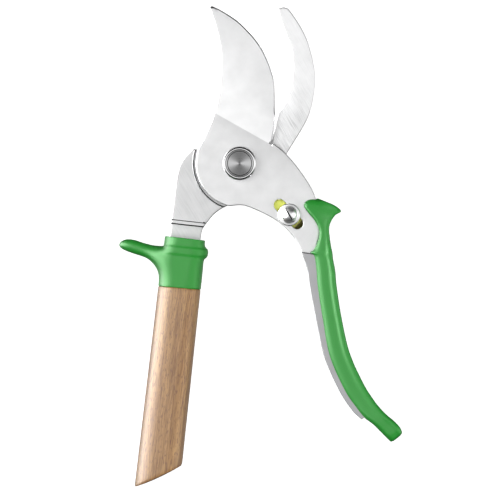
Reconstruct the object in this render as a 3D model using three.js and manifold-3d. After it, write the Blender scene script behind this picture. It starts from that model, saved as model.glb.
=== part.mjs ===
// One-hand bypass pruning shears with a wooden handle, a moulded finger guard and a covered lever.
// Millimetres. The shears lie flat: the pivot axis is Z and its foot, the flat end of the pivot
// bolt, is the origin. +Y runs along the wooden handle towards the jaws, +X towards the lever.
import * as THREE from 'three';
import { mergeVertices } from 'three/addons/utils/BufferGeometryUtils.js';
import Module from 'manifold-3d';

const wasm = await Module();
wasm.setup();

// ---- driving dimensions ---------------------------------------------------------------------
const gap = 0.3;                 // clearance between neighbouring pieces

const jawReach = 68.6;           // pivot to the tips of the jaws
const counterBottom = 6;         // height of the counter blade's underside
const counterThickness = 4;
const bladeThickness = 3.5;
const shoulderHeight = 3.3;      // raised neck beside the blade's hub
const hubRadius = 18.8;          // hub of the cutting blade
const pocketClearance = 1.2;     // hub to the wall of the neck's pocket
const rimRadius = 16.8;          // hub of the counter blade
const closingAngle = 27;         // degrees from open to closed

const boltRadius = 4;
const boltHeadRadius = 7.2;
const boltHeadHeight = 2.8;
const bushWall = 0.8;
const washerThickness = 0.8;
const nutAcrossFlats = 13;
const nutThickness = 3.4;

const springWire = 1.2;
const springRadius = 9.2;
const springTurns = 2;
const springPitch = 1.4;
const springRoom = 1.6;          // chamber wall to the middle of the wire
const chamberInCounter = 2;
const chamberInBlade = 2.2;

const stopPinRadius = 1.3;
const stopPinPlace = 13.9;       // from the pivot
const stopPinAngle = 200;
const stopGrooveDepth = 2;

const slotWidth = 5;
const slotAngle = -39.6;         // direction of the lock's travel, from the pivot
const slotNear = 24.8;           // centres of the slot's round ends, from the pivot
const slotFar = 35.7;
const lockPlace = 30.6;          // the button's centre, from the pivot
const lockNoseWidth = 4;
const lockNoseRetreat = 1.2;     // the free nose clears the counter blade's rim by this
const lockTravelIn = 5;
const lockBodyWidth = 9;
const lockBodyPastSlot = 0.7;    // the body covers the slot's outer end by this much
const lockBodyThickness = 3.4;
const lockShankRadius = 2.2;
const lockFlangeRadius = 4.8;
const lockFlangeHeight = 1.1;
const lockDomeRadius = 3.45;
const lockDomeHeight = 2.7;

const leverTop = -34.5;          // upper end of the channel
const leverReach = 70;           // length of the channel along Y
const channelSheet = 1.5;
const upperSpacer = 0.4;         // thickness of the spacers over the blade's tail
const coverWall = 2;             // moulded cover over the channel, top, bottom and back
const rivetRadius = 1.4;
const spacerWall = 0.7;
const rivetPlaces = [8, 19];     // from the channel's upper end

const handleWidth = 19;
const handleThickness = 20;
const handleAxis = -19.65;       // x of the wooden handle's middle line
const handleLength = 87;         // joint with the collar to the far corner of the slanted end
const handleSlant = 11.5;        // the slanted end runs back by this much across the handle
const collarTop = -34.5;
const collarLength = 21.7;
const collarWall = 1.9;
const beadHeight = 1;
const guardReach = 20.6;         // length of the finger guard, from its root in the collar's wall
const guardThickness = 15;
const spigotLength = 13;
const tangWidth = 10;
const tangLength = 62;           // below the collar's top
const tangPinRadius = 1.5;
const tangPinPlaces = [12, 18];  // below the collar's top

// ---- heights worked out from them -----------------------------------------------------------
const shearPlane = counterBottom + counterThickness;
const bladeBottom = shearPlane + gap;
const bladeTop = bladeBottom + bladeThickness;
const pocketRadius = hubRadius + pocketClearance;
const bushOuter = boltRadius + gap + bushWall;
const channelBottom = coverWall + gap;
const channelTop = bladeTop + gap + upperSpacer + gap + channelSheet;
const coverTop = channelTop + gap + coverWall;
const collarEnd = collarTop - collarLength;

const steel = { color: 0xc9cbcc, roughness: 0.28, metalness: 1 };
const polished = { color: 0xd6d7d8, roughness: 0.12, metalness: 1 };
const green = { color: 0x48a54e, roughness: 0.38, metalness: 0 };
const yellow = { color: 0xe1eb64, roughness: 0.45, metalness: 0 };
const beech = { color: 0xc8a078, roughness: 0.6, metalness: 0 };

// ---- shaping tools --------------------------------------------------------------------------
const radians = THREE.MathUtils.degToRad;

function polar(radius, degrees) {
  return new THREE.Vector2(radius * Math.cos(radians(degrees)), radius * Math.sin(radians(degrees)));
}

function toSolid(geometry) {
  const bare = geometry.clone();
  bare.deleteAttribute('normal');
  bare.deleteAttribute('uv');
  const merged = mergeVertices(bare, 1e-4);
  const mesh = new wasm.Mesh({
    numProp: 3,
    vertProperties: new Float32Array(merged.attributes.position.array),
    triVerts: new Uint32Array(merged.index.array),
  });
  return new wasm.Manifold(mesh);
}

function toGeometry(solid) {
  const mesh = solid.getMesh();
  const geometry = new THREE.BufferGeometry();
  geometry.setAttribute('position', new THREE.BufferAttribute(new Float32Array(mesh.vertProperties), 3));
  geometry.setIndex(new THREE.BufferAttribute(new Uint32Array(mesh.triVerts), 1));
  geometry.computeVertexNormals();
  return geometry;
}

// A flat outline given height: the shape lies in XY and fills z from bottom to top.
function slab(shape, bottom, top, curveSegments = 3) {
  const geometry = new THREE.ExtrudeGeometry(shape, {
    depth: top - bottom, bevelEnabled: false, curveSegments,
  });
  geometry.translate(0, 0, bottom);
  return toSolid(geometry);
}

function cylinder(radius, bottom, top, x = 0, y = 0, sides = 48) {
  const geometry = new THREE.CylinderGeometry(radius, radius, top - bottom, sides);
  geometry.rotateX(Math.PI / 2);
  geometry.translate(x, y, (bottom + top) / 2);
  return toSolid(geometry);
}

function tube(inner, outer, bottom, top, x = 0, y = 0, sides = 48) {
  const hole = cylinder(inner, bottom - 1, top + 1, x, y, sides);
  return cylinder(outer, bottom, top, x, y, sides).subtract(hole);
}

// A round-ended slot between two points.
function slotSolid(from, to, width, bottom, top) {
  const along = Math.atan2(to.y - from.y, to.x - from.x);
  const shape = new THREE.Shape();
  shape.absarc(to.x, to.y, width / 2, along - Math.PI / 2, along + Math.PI / 2, false);
  shape.absarc(from.x, from.y, width / 2, along + Math.PI / 2, along + 1.5 * Math.PI, false);
  return slab(shape, bottom, top, 12);
}

// A straight bar from one radius to another, in the direction the lock slides.
function radialBar(near, far, width, bottom, top, degrees) {
  const geometry = new THREE.BoxGeometry(far - near, width, top - bottom);
  geometry.translate((near + far) / 2, 0, (bottom + top) / 2);
  geometry.rotateZ(radians(degrees));
  return toSolid(geometry);
}

// Sector of a ring, from one angle to another.
function ringSector(inner, outer, from, to, bottom, top) {
  const shape = new THREE.Shape();
  shape.absarc(0, 0, outer, radians(from), radians(to), false);
  shape.absarc(0, 0, inner, radians(to), radians(from), true);
  return slab(shape, bottom, top, 16);
}

// A body through a row of rings that all have the same number of points.
function loft(rings) {
  const sides = rings[0].length;
  const positions = rings.flat().flatMap((p) => [p.x, p.y, p.z]);
  const index = [];
  for (let r = 0; r < rings.length - 1; r += 1) {
    for (let k = 0; k < sides; k += 1) {
      const a = r * sides + k;
      const b = r * sides + (k + 1) % sides;
      index.push(a, b, a + sides, b, b + sides, a + sides);
    }
  }
  const last = (rings.length - 1) * sides;
  for (let k = 1; k < sides - 1; k += 1) {
    index.push(0, k + 1, k, last, last + k, last + k + 1);
  }
  if (signedVolume(positions, index) < 0) {
    index.reverse();
  }
  const geometry = new THREE.BufferGeometry();
  geometry.setAttribute('position', new THREE.Float32BufferAttribute(positions, 3));
  geometry.setIndex(index);
  return toSolid(geometry);
}

function signedVolume(positions, index) {
  const corner = (i) => new THREE.Vector3().fromArray(positions, 3 * i);
  let volume = 0;
  for (let t = 0; t < index.length; t += 3) {
    volume += corner(index[t]).dot(corner(index[t + 1]).cross(corner(index[t + 2]))) / 6;
  }
  return volume;
}

// Points of a superellipse, a rounded rectangle's softer relative: |u/a|^n + |v/b|^n = 1.
function roundedSection(halfU, halfV, exponent, sides = 32) {
  return Array.from({ length: sides }, (_, k) => {
    const angle = 2 * Math.PI * k / sides;
    const c = Math.cos(angle);
    const s = Math.sin(angle);
    const u = halfU * Math.sign(c) * Math.abs(c) ** (2 / exponent);
    const v = halfV * Math.sign(s) * Math.abs(s) ** (2 / exponent);
    return new THREE.Vector2(u, v);
  });
}

function named(name, solid, look) {
  const mesh = new THREE.Mesh(toGeometry(solid), new THREE.MeshStandardMaterial(look));
  mesh.name = name;
  return mesh;
}

// ---- outlines -------------------------------------------------------------------------------
// Jaw outlines give x in millimetres and y as a share of the jaws' reach.
function jaw(points) {
  return points.map(([x, share]) => new THREE.Vector2(x, share * jawReach));
}

function at(points) {
  return points.map(([x, y]) => new THREE.Vector2(x, y));
}

const rimStart = 40;             // where the hook's inner edge leaves the counter blade's rim
const rimEnd = 160;
const hookRoot = polar(rimRadius, -5);
const hookEdge = jaw([[14, 0.824], [17.9, 0.66], [18.1, 0.53], [16.4, 0.405], [13.8, 0.328]]);
const hookBack = jaw([[22.4, 0.1925], [27.2, 0.34], [28.4, 0.5], [26.6, 0.685], [21, 0.864], [13.3, 1]]);
const neckEdgeLeft = -26.4;      // sides of the neck where it enters the collar
const neckEdgeRight = -13;
const neckLeft = at([[-24.4, -0.9], [-26.2, -7.8], [neckEdgeLeft, -18], [neckEdgeLeft, collarTop]]);
const neckRight = at([[-10.6, -25.8], [-6.8, -21.1], [-1.7, -17.8], [0.6, -16.9]]);
const neckFoot = -12.1;          // x where the neck's right edge meets its step
const stepPlace = -28.5;         // the raised shoulder ends here
const tangLeft = handleAxis - tangWidth / 2;
const tangRight = handleAxis + tangWidth / 2;
const tangEnd = collarTop - tangLength;
const neckTip = at([[-19.4, 4.4]])[0];

function counterShape() {
  const shape = new THREE.Shape();
  const rim = polar(rimRadius, rimStart);
  shape.moveTo(13.3, jawReach);
  shape.lineTo(9, 0.99 * jawReach);
  shape.splineThru(hookEdge);
  shape.lineTo(rim.x, rim.y);
  shape.absarc(0, 0, rimRadius, radians(rimStart), radians(rimEnd), false);
  shape.lineTo(neckTip.x, neckTip.y);
  shape.splineThru(neckLeft);
  shape.lineTo(neckEdgeLeft, collarTop - 2);
  shape.lineTo(tangLeft, collarTop - 5);
  shape.lineTo(tangLeft, tangEnd + 3);
  shape.lineTo(tangLeft + 3, tangEnd);
  shape.lineTo(tangRight - 3, tangEnd);
  shape.lineTo(tangRight, tangEnd + 3);
  shape.lineTo(tangRight, collarTop - 5);
  shape.lineTo(neckEdgeRight, collarTop - 2);
  shape.lineTo(neckEdgeRight, -31.5);
  shape.lineTo(neckFoot, stepPlace);
  shape.splineThru(neckRight);
  shape.absarc(0, 0, rimRadius, radians(-87), radians(-5), false);
  shape.lineTo(hookRoot.x + 0.6, hookRoot.y + 3);
  shape.splineThru(hookBack);
  return shape;
}

function shoulderShape() {
  const shape = new THREE.Shape();
  shape.moveTo(neckTip.x, neckTip.y);
  shape.splineThru([...neckLeft.slice(0, 3), new THREE.Vector2(neckEdgeLeft, stepPlace)]);
  shape.lineTo(neckFoot, stepPlace);
  shape.splineThru(neckRight);
  return shape;
}

const armTop = at([
  [17.5, 7.7], [23.2, 2.7], [31.8, -5.9], [34.8, -12], [36, -20], [37.4, -26], [36.3, -30.4],
]);
const armLow = at([[24.9, -27.2], [16.4, -21.8], [9.9, -19], [3.5, -17.6]]);
const bladeEdge = jaw([
  [12.9, 0.24], [12.3, 0.384], [8.8, 0.61], [0.4, 0.79], [-8.4, 0.891], [-19.3, 0.962],
]);
const bladeBack = jaw([[-20.2, 0.939], [-15.9, 0.8], [-12.4, 0.56], [-12.6, 0.34], [-15.6, 0.146]]);

// ---- the lever's length: two edges, and places between them ---------------------------------
const drawnReach = 70;           // the two edges below are drawn for this reach
const leverScale = (y) => leverTop + (y - leverTop) * leverReach / drawnReach;
const leverInner = new THREE.SplineCurve(
  [
    [30.6, -34.5], [33.8, -41.3], [37.7, -54.7], [43.1, -71.8],
    [50.1, -86.4], [58.5, -98], [67.3, -104.2], [77.4, -111.2],
  ].map(([x, y]) => new THREE.Vector2(x, leverScale(y))),
);
const leverOuter = new THREE.SplineCurve(
  [[44.2, -34.5], [47.2, -47.4], [50.2, -60], [54.7, -72.7], [62.5, -87.3], [72.6, -98.5], [81.6, -105.4]]
    .map(([x, y]) => new THREE.Vector2(x, leverScale(y))),
);

// A point at a share of the lever's length, moved in from the outer edge by a distance.
function fromOuter(share, distance) {
  const outer = leverOuter.getPointAt(share);
  const inner = leverInner.getPointAt(share);
  return outer.clone().add(inner.sub(outer).setLength(distance));
}

function fromInner(share, distance) {
  const outer = leverOuter.getPointAt(share);
  const inner = leverInner.getPointAt(share);
  return inner.clone().add(outer.sub(inner).setLength(distance));
}

function band(left, right) {
  const shape = new THREE.Shape();
  shape.setFromPoints([...left, ...right.slice().reverse()]);
  return shape;
}

// Evenly spaced numbers from one value to another.
function shares(from, to, count) {
  return Array.from({ length: count }, (_, k) => from + (to - from) * k / (count - 1));
}

const channelEnd = 0.85;         // share of the lever's length where the steel channel stops
const webBack = coverWall + gap; // outer edge of the lever to the back of the channel's web
const tailLength = 0.4;          // share of the lever's length that the blade's tail fills


// ---- counter blade: hook, hub, raised neck and tang in one forging --------------------------
function makeCounterBlade() {
  const chamberFloor = shearPlane - chamberInCounter;
  const noseFit = gap + 0.2;
  const notchDepth = rimRadius + lockNoseRetreat - lockTravelIn - noseFit;
  const notchWidth = lockNoseWidth + 2 * noseFit;
  const pin = polar(stopPinPlace, stopPinAngle);
  let solid = slab(counterShape(), counterBottom, shearPlane);
  const pocket = cylinder(pocketRadius, shearPlane, shearPlane + shoulderHeight + 1, 0, 0, 72);
  const shoulder = slab(shoulderShape(), shearPlane - 1, shearPlane + shoulderHeight);
  solid = solid.add(shoulder.subtract(pocket));
  solid = solid.subtract(cylinder(boltRadius + gap, counterBottom - 1, shearPlane + 1));
  const chamberIn = springRadius - springRoom;
  solid = solid.subtract(tube(chamberIn, springRadius + springRoom, chamberFloor, shearPlane + 1));
  for (const turn of [0, -closingAngle]) {
    solid = solid.subtract(radialBar(
      notchDepth, rimRadius + 6, notchWidth, counterBottom - 1, shearPlane + 1, slotAngle + turn,
    ));
  }
  const pinHoleFloor = counterBottom + 1 - gap;
  return solid.subtract(cylinder(
    stopPinRadius + gap, pinHoleFloor, shearPlane + 1, pin.x, pin.y, 20,
  ));
}

// ---- cutting blade: ground blade, hub and slotted lever arm ---------------------------------
function bladeShape() {
  const shape = new THREE.Shape();
  const hubStart = 162;
  const left = polar(hubRadius, hubStart);
  shape.moveTo(bladeBack[0].x, bladeBack[0].y);
  shape.splineThru(bladeBack.slice(1));
  shape.lineTo(left.x, left.y);
  shape.absarc(0, 0, hubRadius, radians(hubStart), radians(262), false);
  shape.splineThru(armLow.slice().reverse());
  const tailOut = shares(0.02, tailLength, 5).map((s) => fromInner(s, channelSheet));
  const tailBack = shares(0.02, tailLength, 5)
    .map((s) => fromOuter(s, webBack + channelSheet + gap + 1)).reverse();
  for (const point of [...tailOut, ...tailBack]) {
    shape.lineTo(point.x, point.y);
  }
  shape.splineThru(armTop.slice().reverse());
  shape.lineTo(bladeEdge[0].x, bladeEdge[0].y);
  shape.splineThru(bladeEdge.slice(1));
  return shape;
}

// The grind: a wide plane that falls from the spine to the cutting edge and stops at a straight
// line across the blade's root.
function grindSolid() {
  const slope = 6.5;
  const turn = 30;               // the plane falls square to the chord of the cutting edge
  const spine = 1;               // distance from the pivot at which the plane leaves the top face
  const block = new THREE.BoxGeometry(120, 240, 30);
  block.translate(60, 0, 15);
  block.rotateY(radians(slope));
  block.translate(spine, 0, 0);
  block.rotateZ(radians(turn));
  block.translate(0, 0, bladeTop);
  const root = new THREE.Shape();
  root.setFromPoints(at([[-60, 40.3], [60, -10.6], [60, 200], [-60, 200]]));
  return toSolid(block).intersect(slab(root, 0, bladeTop + 20));
}

function makeCuttingBlade() {
  const room = springRadius + springRoom;
  const grooveHalf = stopPinRadius + gap;
  const pinSwing = THREE.MathUtils.radToDeg(grooveHalf / stopPinPlace);
  let solid = slab(bladeShape(), bladeBottom, bladeTop, 3).subtract(grindSolid());
  solid = solid.subtract(cylinder(bushOuter + gap, bladeBottom - 1, bladeTop + 1));
  const chamberIn = springRadius - springRoom;
  solid = solid.subtract(tube(chamberIn, room, bladeBottom - 1, bladeBottom + chamberInBlade));
  solid = solid.subtract(ringSector(
    stopPinPlace - grooveHalf, stopPinPlace + grooveHalf,
    stopPinAngle - pinSwing, stopPinAngle + closingAngle + pinSwing,
    bladeBottom - 1, bladeBottom + stopGrooveDepth,
  ));
  solid = solid.subtract(slotSolid(
    polar(slotNear, slotAngle), polar(slotFar, slotAngle), slotWidth, bladeBottom - 1, bladeTop + 1,
  ));
  return solid.subtract(rivetHoles());
}

function rivetPoints() {
  const length = leverInner.getLength();
  return rivetPlaces.map((place) => {
    const share = place / length;
    return fromInner(share, channelSheet).lerp(fromOuter(share, webBack + channelSheet), 0.58);
  });
}

// Both rivets' holes, through the whole lever.
function rivetHoles() {
  const [first, second] = rivetPoints().map((place) => cylinder(
    rivetRadius + gap, channelBottom - 1, channelTop + 1, place.x, place.y, 24,
  ));
  return first.add(second);
}

// ---- pivot ----------------------------------------------------------------------------------
function makeBolt() {
  const headBottom = bladeTop + gap;
  const headTop = headBottom + boltHeadHeight;
  const face = boltHeadRadius - 1;
  const profile = [
    [0, 0], [boltRadius, 0], [boltRadius, headBottom], [boltHeadRadius, headBottom],
    [boltHeadRadius, headTop - 0.9], [face, headTop], [1.6, headTop], [0, headTop - 0.6],
  ];
  return turned(profile, 56);
}

function turned(profile, sides) {
  const geometry = new THREE.LatheGeometry(profile.map(([r, z]) => new THREE.Vector2(r, z)), sides);
  geometry.rotateX(Math.PI / 2);
  return toSolid(geometry);
}

function makeNut() {
  const top = counterBottom - gap - washerThickness - gap;
  const corner = nutAcrossFlats / 2 / Math.cos(Math.PI / 6);
  return cylinder(corner, top - nutThickness, top, 0, 0, 6)
    .subtract(cylinder(boltRadius + gap, 0, top + 1));
}

function makeSpring() {
  const total = springTurns * springPitch;
  const middle = (shearPlane - chamberInCounter + bladeBottom + chamberInBlade) / 2;
  const steps = 24 * springTurns;
  const coil = Array.from({ length: steps + 1 }, (_, k) => {
    const turn = 2 * Math.PI * k / 24;
    const z = middle - total / 2 + total * k / steps;
    return new THREE.Vector3(springRadius * Math.cos(turn), springRadius * Math.sin(turn), z);
  });
  const wire = shares(0, 315, 8).map((a) => polar(springWire / 2, a));
  const geometry = new THREE.ExtrudeGeometry(new THREE.Shape(wire), {
    steps, bevelEnabled: false,
    extrudePath: new THREE.CatmullRomCurve3(coil),
  });
  return toSolid(geometry);
}

// ---- lock -----------------------------------------------------------------------------------
const lockTop = bladeBottom - gap;
const lockBottom = lockTop - lockBodyThickness;
const lockWasherTop = lockBottom - gap;
const clipTop = lockWasherTop - 0.6 - gap;
const clipBottom = clipTop - 0.7;
const lockCentre = polar(lockPlace, slotAngle);

function makeLockButton() {
  const flangeBottom = bladeTop + gap;
  const flangeTop = flangeBottom + lockFlangeHeight;
  const dome = shares(0, 90, 7).map((a) => [
    lockDomeRadius * Math.cos(radians(a)), flangeTop + lockDomeHeight * Math.sin(radians(a)),
  ]);
  dome[dome.length - 1][0] = 0;
  const profile = [
    [0, clipBottom - 0.5], [lockShankRadius, clipBottom - 0.5], [lockShankRadius, flangeBottom],
    [lockFlangeRadius, flangeBottom], [lockFlangeRadius, flangeTop - 0.3],
    [lockFlangeRadius - 0.3, flangeTop], ...dome,
  ];
  const driver = new THREE.BoxGeometry(4, 0.6, 1.6);
  driver.rotateZ(radians(-52));
  driver.translate(0, 0, flangeTop + lockDomeHeight);
  return turned(profile, 40).subtract(toSolid(driver)).translate([lockCentre.x, lockCentre.y, 0]);
}

function makeLockSlider() {
  const noseTip = rimRadius + lockNoseRetreat;
  const bodyStart = rimRadius + lockTravelIn + gap;
  const nose = radialBar(noseTip, bodyStart + 1, lockNoseWidth, lockBottom, lockTop, slotAngle);
  const bodyEnd = slotFar + slotWidth / 2 + lockBodyPastSlot;
  const body = radialBar(bodyStart, bodyEnd, lockBodyWidth, lockBottom, lockTop, slotAngle);
  const hole = cylinder(lockShankRadius + gap, lockBottom - 1, lockTop + 1, lockCentre.x, lockCentre.y, 28);
  return nose.add(body).subtract(hole);
}

function makeLockWasher() {
  return tube(lockShankRadius + gap, lockShankRadius + 2.2, lockWasherTop - 0.6, lockWasherTop,
    lockCentre.x, lockCentre.y, 28);
}

function makeLockClip() {
  const ring = tube(lockShankRadius + gap, lockShankRadius + 1.8, clipBottom, clipTop,
    lockCentre.x, lockCentre.y, 28);
  const mouth = new THREE.BoxGeometry(6, 2.4, 3);
  mouth.translate(lockCentre.x + 3, lockCentre.y, (clipBottom + clipTop) / 2);
  return ring.subtract(toSolid(mouth));
}

// ---- lever: steel channel, rivets and moulded cover -----------------------------------------
// The channel is a U folded from sheet, open on the side of the wooden handle.
function makeChannel() {
  const along = shares(0, channelEnd, 14);
  const openSide = along.map((s) => fromInner(s, 0));
  const beyond = along.map((s) => fromInner(s, -12));
  const backOuter = along.map((s) => fromOuter(s, webBack));
  const backInner = along.map((s) => fromOuter(s, webBack + channelSheet));
  const block = slab(band(openSide, backOuter), channelBottom, channelTop);
  const room = slab(band(beyond, backInner), channelBottom + channelSheet, channelTop - channelSheet);
  return block.subtract(room).subtract(rivetHoles());
}

function makeRivet(place) {
  return cylinder(rivetRadius, channelBottom, channelTop, place.x, place.y, 24);
}

function makeSpacer(place, upper) {
  const bottom = upper ? bladeTop + gap : channelBottom + channelSheet + gap;
  const top = upper ? channelTop - channelSheet - gap : bladeBottom - gap;
  return tube(rivetRadius + gap, rivetRadius + gap + spacerWall, bottom, top, place.x, place.y, 24);
}

// The cover's body is a rounded section carried down the lever; its head is a flared thumb rest
// around the end of the blade's arm.
function makeCover() {
  const middleHeight = coverTop / 2;
  const roundStart = 0.955;      // the lower end rounds off from here
  const rings = [...shares(0, roundStart, 16), 0.975, 0.988, 0.996, 1].map((s) => {
    const outer = leverOuter.getPointAt(s);
    const lip = fromInner(s, 3.2 * Math.max(0, 1 - s / channelEnd));
    const middle = outer.clone().lerp(lip, 0.5);
    const across = outer.clone().sub(lip);
    const halfWidth = across.length() / 2;
    const unit = across.normalize();
    const past = Math.max(0, (s - roundStart) / (1 - roundStart));
    const closing = 0.5 + 0.5 * Math.sqrt(1 - past * past);
    const section = roundedSection(halfWidth * closing, middleHeight * closing, 3.4);
    return section.map((p) => new THREE.Vector3(
      middle.x + unit.x * p.x, middle.y + unit.y * p.x, middleHeight + p.y,
    ));
  });
  const head = new THREE.Shape();
  head.moveTo(29.6, -14.6);
  head.splineThru(at([
    [31.6, -11.8], [38.1, -11.9], [45.5, -15.5], [41.8, -20.1], [41.7, -26.3], [44.2, -34.5],
  ]));
  head.lineTo(45.4, -40);
  head.lineTo(36.4, -40);
  head.lineTo(34.6, -34);
  head.lineTo(37, -28);
  head.lineTo(36.6, -22);
  const headSolid = slab(head, 1.5, coverTop - 1.5);
  const along = shares(-0.02, channelEnd + 0.01, 14).map((s) => Math.max(0, s));
  const nearSide = along.map((s) => fromInner(s, -14));
  const back = along.map((s) => fromOuter(s, webBack - gap));
  const channelRoom = slab(band(nearSide, back), channelBottom - gap, channelTop + gap);
  const window = slab(headWindow(), -1, coverTop + 1);
  const arm = slab(armRoom(), bladeBottom - gap, bladeTop + gap);
  const tail = slab(tailRoom(), bladeBottom - gap, channelTop + gap);
  return loft(rings).add(headSolid).subtract(channelRoom).subtract(window).subtract(arm).subtract(tail);
}

// The head leaves the end of the arm in view through a window with a round edge.
function headWindow() {
  const shape = new THREE.Shape();
  shape.moveTo(27, -12);
  shape.lineTo(29.2, -15);
  shape.splineThru(at([
    [32.3, -18.1], [35.6, -21.5], [37.4, -26], [36.5, -30.4], [34.3, -33], [30.6, -34.1],
  ]));
  shape.lineTo(20, -34.2);
  shape.lineTo(15, -12);
  return shape;
}

// Under its skin the head is slotted for the arm, with clearance all round.
function armRoom() {
  const shape = new THREE.Shape();
  shape.moveTo(15, 0);
  shape.splineThru(at([[30, -4], [35, -11], [37, -18.5], [38.2, -26], [37.2, -31], [34, -34.5]]));
  shape.lineTo(20, -34.5);
  return shape;
}

function tailRoom() {
  const along = shares(0, 0.2, 4);
  const left = along.map((s) => fromInner(s, -3));
  const right = along.map((s) => fromOuter(s, webBack - gap));
  return band([new THREE.Vector2(28, -24), ...left], [new THREE.Vector2(37.8, -26), ...right]);
}

// ---- wooden handle and its collar -----------------------------------------------------------
// A rounded section across the handle, at a place along it.
function acrossHandle(y, halfWidth, halfThickness, x = handleAxis, exponent = 2.6) {
  return roundedSection(halfWidth, halfThickness, exponent)
    .map((p) => new THREE.Vector3(x + p.x, y, handleThickness / 2 + p.y));
}

const spigotHalfWidth = handleWidth / 2 - 0.35 - collarWall;
const spigotHalfThickness = handleThickness / 2 - 0.5 - collarWall;

function makeCollar() {
  const half = handleWidth / 2 - 0.2;
  const thick = handleThickness / 2 - 0.2 - beadHeight / 2;
  const stations = [
    [0, -0.5], [0.8, 0], [3, 0], [4, beadHeight], [6.2, beadHeight], [7.6, 0], [collarLength, 0],
  ];
  const sleeve = loft(stations.map(([down, out]) => acrossHandle(
    collarTop - down, half - 0.4 + out, thick + out / 2, handleAxis + 0.1,
  )));
  const wing = [
    [0, 4.4, 16], [0.24, 4.4, 12.8], [0.42, 4, 10], [0.66, 3, 8.8],
    [0.84, 3.1, 8], [0.94, 3.6, 7.4], [1, 5, 6.4],
  ].map(([share, top, bottom]) => {
    const x = handleAxis - half + 2 - share * guardReach;
    const section = roundedSection(guardThickness / 2 * (1 - 0.25 * share), (bottom - top) / 2, 2.4);
    const y = collarTop - (top + bottom) / 2;
    return section.map((p) => new THREE.Vector3(x, y + p.y, handleThickness / 2 + p.x));
  });
  const socketTop = collarTop - collarLength + spigotLength + gap;
  const socket = loft([collarEnd - 1, socketTop].map((y) => acrossHandle(
    y, spigotHalfWidth + gap, spigotHalfThickness + gap,
  )));
  const throatWidth = neckEdgeRight - neckEdgeLeft + 2 * gap;
  const throatMiddle = (neckEdgeLeft + neckEdgeRight) / 2;
  const throat = new THREE.BoxGeometry(throatWidth, collarLength, counterThickness + 2 * gap);
  throat.translate(throatMiddle, collarTop - collarLength / 2 + 2, counterBottom + counterThickness / 2);
  return sleeve.add(loft(wing)).subtract(socket).subtract(toSolid(throat));
}

function makeHandle() {
  const half = handleWidth / 2;
  const thick = handleThickness / 2;
  const top = collarEnd - gap;
  const bottom = top - handleLength;
  const grip = loft([
    [top, half - 0.35, thick - 0.5], [top - 25, half - 0.2, thick - 0.2], [top - 55, half, thick],
    [bottom, half + 0.2, thick],
  ].map(([y, u, v]) => acrossHandle(y, u, v)));
  const spigotTop = collarEnd + spigotLength;
  const spigot = loft([top - 2, spigotTop].map((y) => acrossHandle(
    y, spigotHalfWidth, spigotHalfThickness,
  )));
  const slant = new THREE.Shape();
  slant.setFromPoints(at([
    [handleAxis - 20, bottom - 6.5], [handleAxis + 20, bottom + 2 * handleSlant - 4.5],
    [handleAxis + 20, bottom - 60], [handleAxis - 20, bottom - 60],
  ]));
  const slot = new THREE.BoxGeometry(tangWidth + 2 * gap, tangLength + 1, counterThickness + 2 * gap);
  slot.translate(handleAxis, collarTop - (tangLength + 1) / 2, counterBottom + counterThickness / 2);
  let solid = grip.add(spigot).subtract(slab(slant, -5, handleThickness + 5)).subtract(toSolid(slot));
  for (const y of tangPinHeights()) {
    solid = solid.subtract(cylinder(tangPinRadius + gap, -5, handleThickness + 5, handleAxis, y, 20));
  }
  return solid;
}

function tangPinHeights() {
  return tangPinPlaces.map((place) => collarTop - place);
}

function makeTangPin(y) {
  const reach = spigotHalfThickness - 0.4;
  const middle = handleThickness / 2;
  return cylinder(tangPinRadius, middle - reach, middle + reach, handleAxis, y, 20);
}

// ---- assembly -------------------------------------------------------------------------------
const shears = new THREE.Group();
let counterBlade = makeCounterBlade();
for (const y of tangPinHeights()) {
  counterBlade = counterBlade.subtract(cylinder(tangPinRadius + gap, 0, 20, handleAxis, y, 20));
}
const stopPin = polar(stopPinPlace, stopPinAngle);
shears.add(
  named('counter_blade', counterBlade, steel),
  named('cutting_blade', makeCuttingBlade(), steel),
  named('pivot_bolt', makeBolt(), polished),
  named('pivot_bush', tube(boltRadius + gap, bushOuter, bladeBottom, bladeTop), steel),
  named('pivot_washer', tube(boltRadius + gap, boltRadius + 4, counterBottom - gap - washerThickness,
    counterBottom - gap), steel),
  named('pivot_nut', makeNut(), steel),
  named('return_spring', makeSpring(), steel),
  named('opening_stop_pin', cylinder(stopPinRadius, counterBottom + 1,
    bladeBottom + stopGrooveDepth - gap, stopPin.x, stopPin.y, 20), steel),
  named('lock_button', makeLockButton(), polished),
  named('lock_slider', makeLockSlider(), yellow),
  named('lock_washer', makeLockWasher(), steel),
  named('lock_clip', makeLockClip(), steel),
  named('lever_channel', makeChannel(), steel),
  named('grip_cover', makeCover(), green),
  named('guard_collar', makeCollar(), green),
  named('wood_handle', makeHandle(), beech),
);
rivetPoints().forEach((place, k) => {
  shears.add(
    named(`channel_rivet_${k + 1}`, makeRivet(place), steel),
    named(`rivet_spacer_lower_${k + 1}`, makeSpacer(place, false), steel),
    named(`rivet_spacer_upper_${k + 1}`, makeSpacer(place, true), steel),
  );
});
tangPinHeights().forEach((y, k) => {
  shears.add(named(`tang_pin_${k + 1}`, makeTangPin(y), steel));
});

export default shears;
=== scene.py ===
# Bypass pruning shears, open and lying flat: ground steel jaws, a turned pivot bolt, a sliding
# lock, a moulded guard and lever cover, and a beech handle. Metres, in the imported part's frame.
import math

import bmesh
import bpy
import numpy as np
from mathutils import Matrix, Vector
from mathutils.geometry import delaunay_2d_cdt


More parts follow.
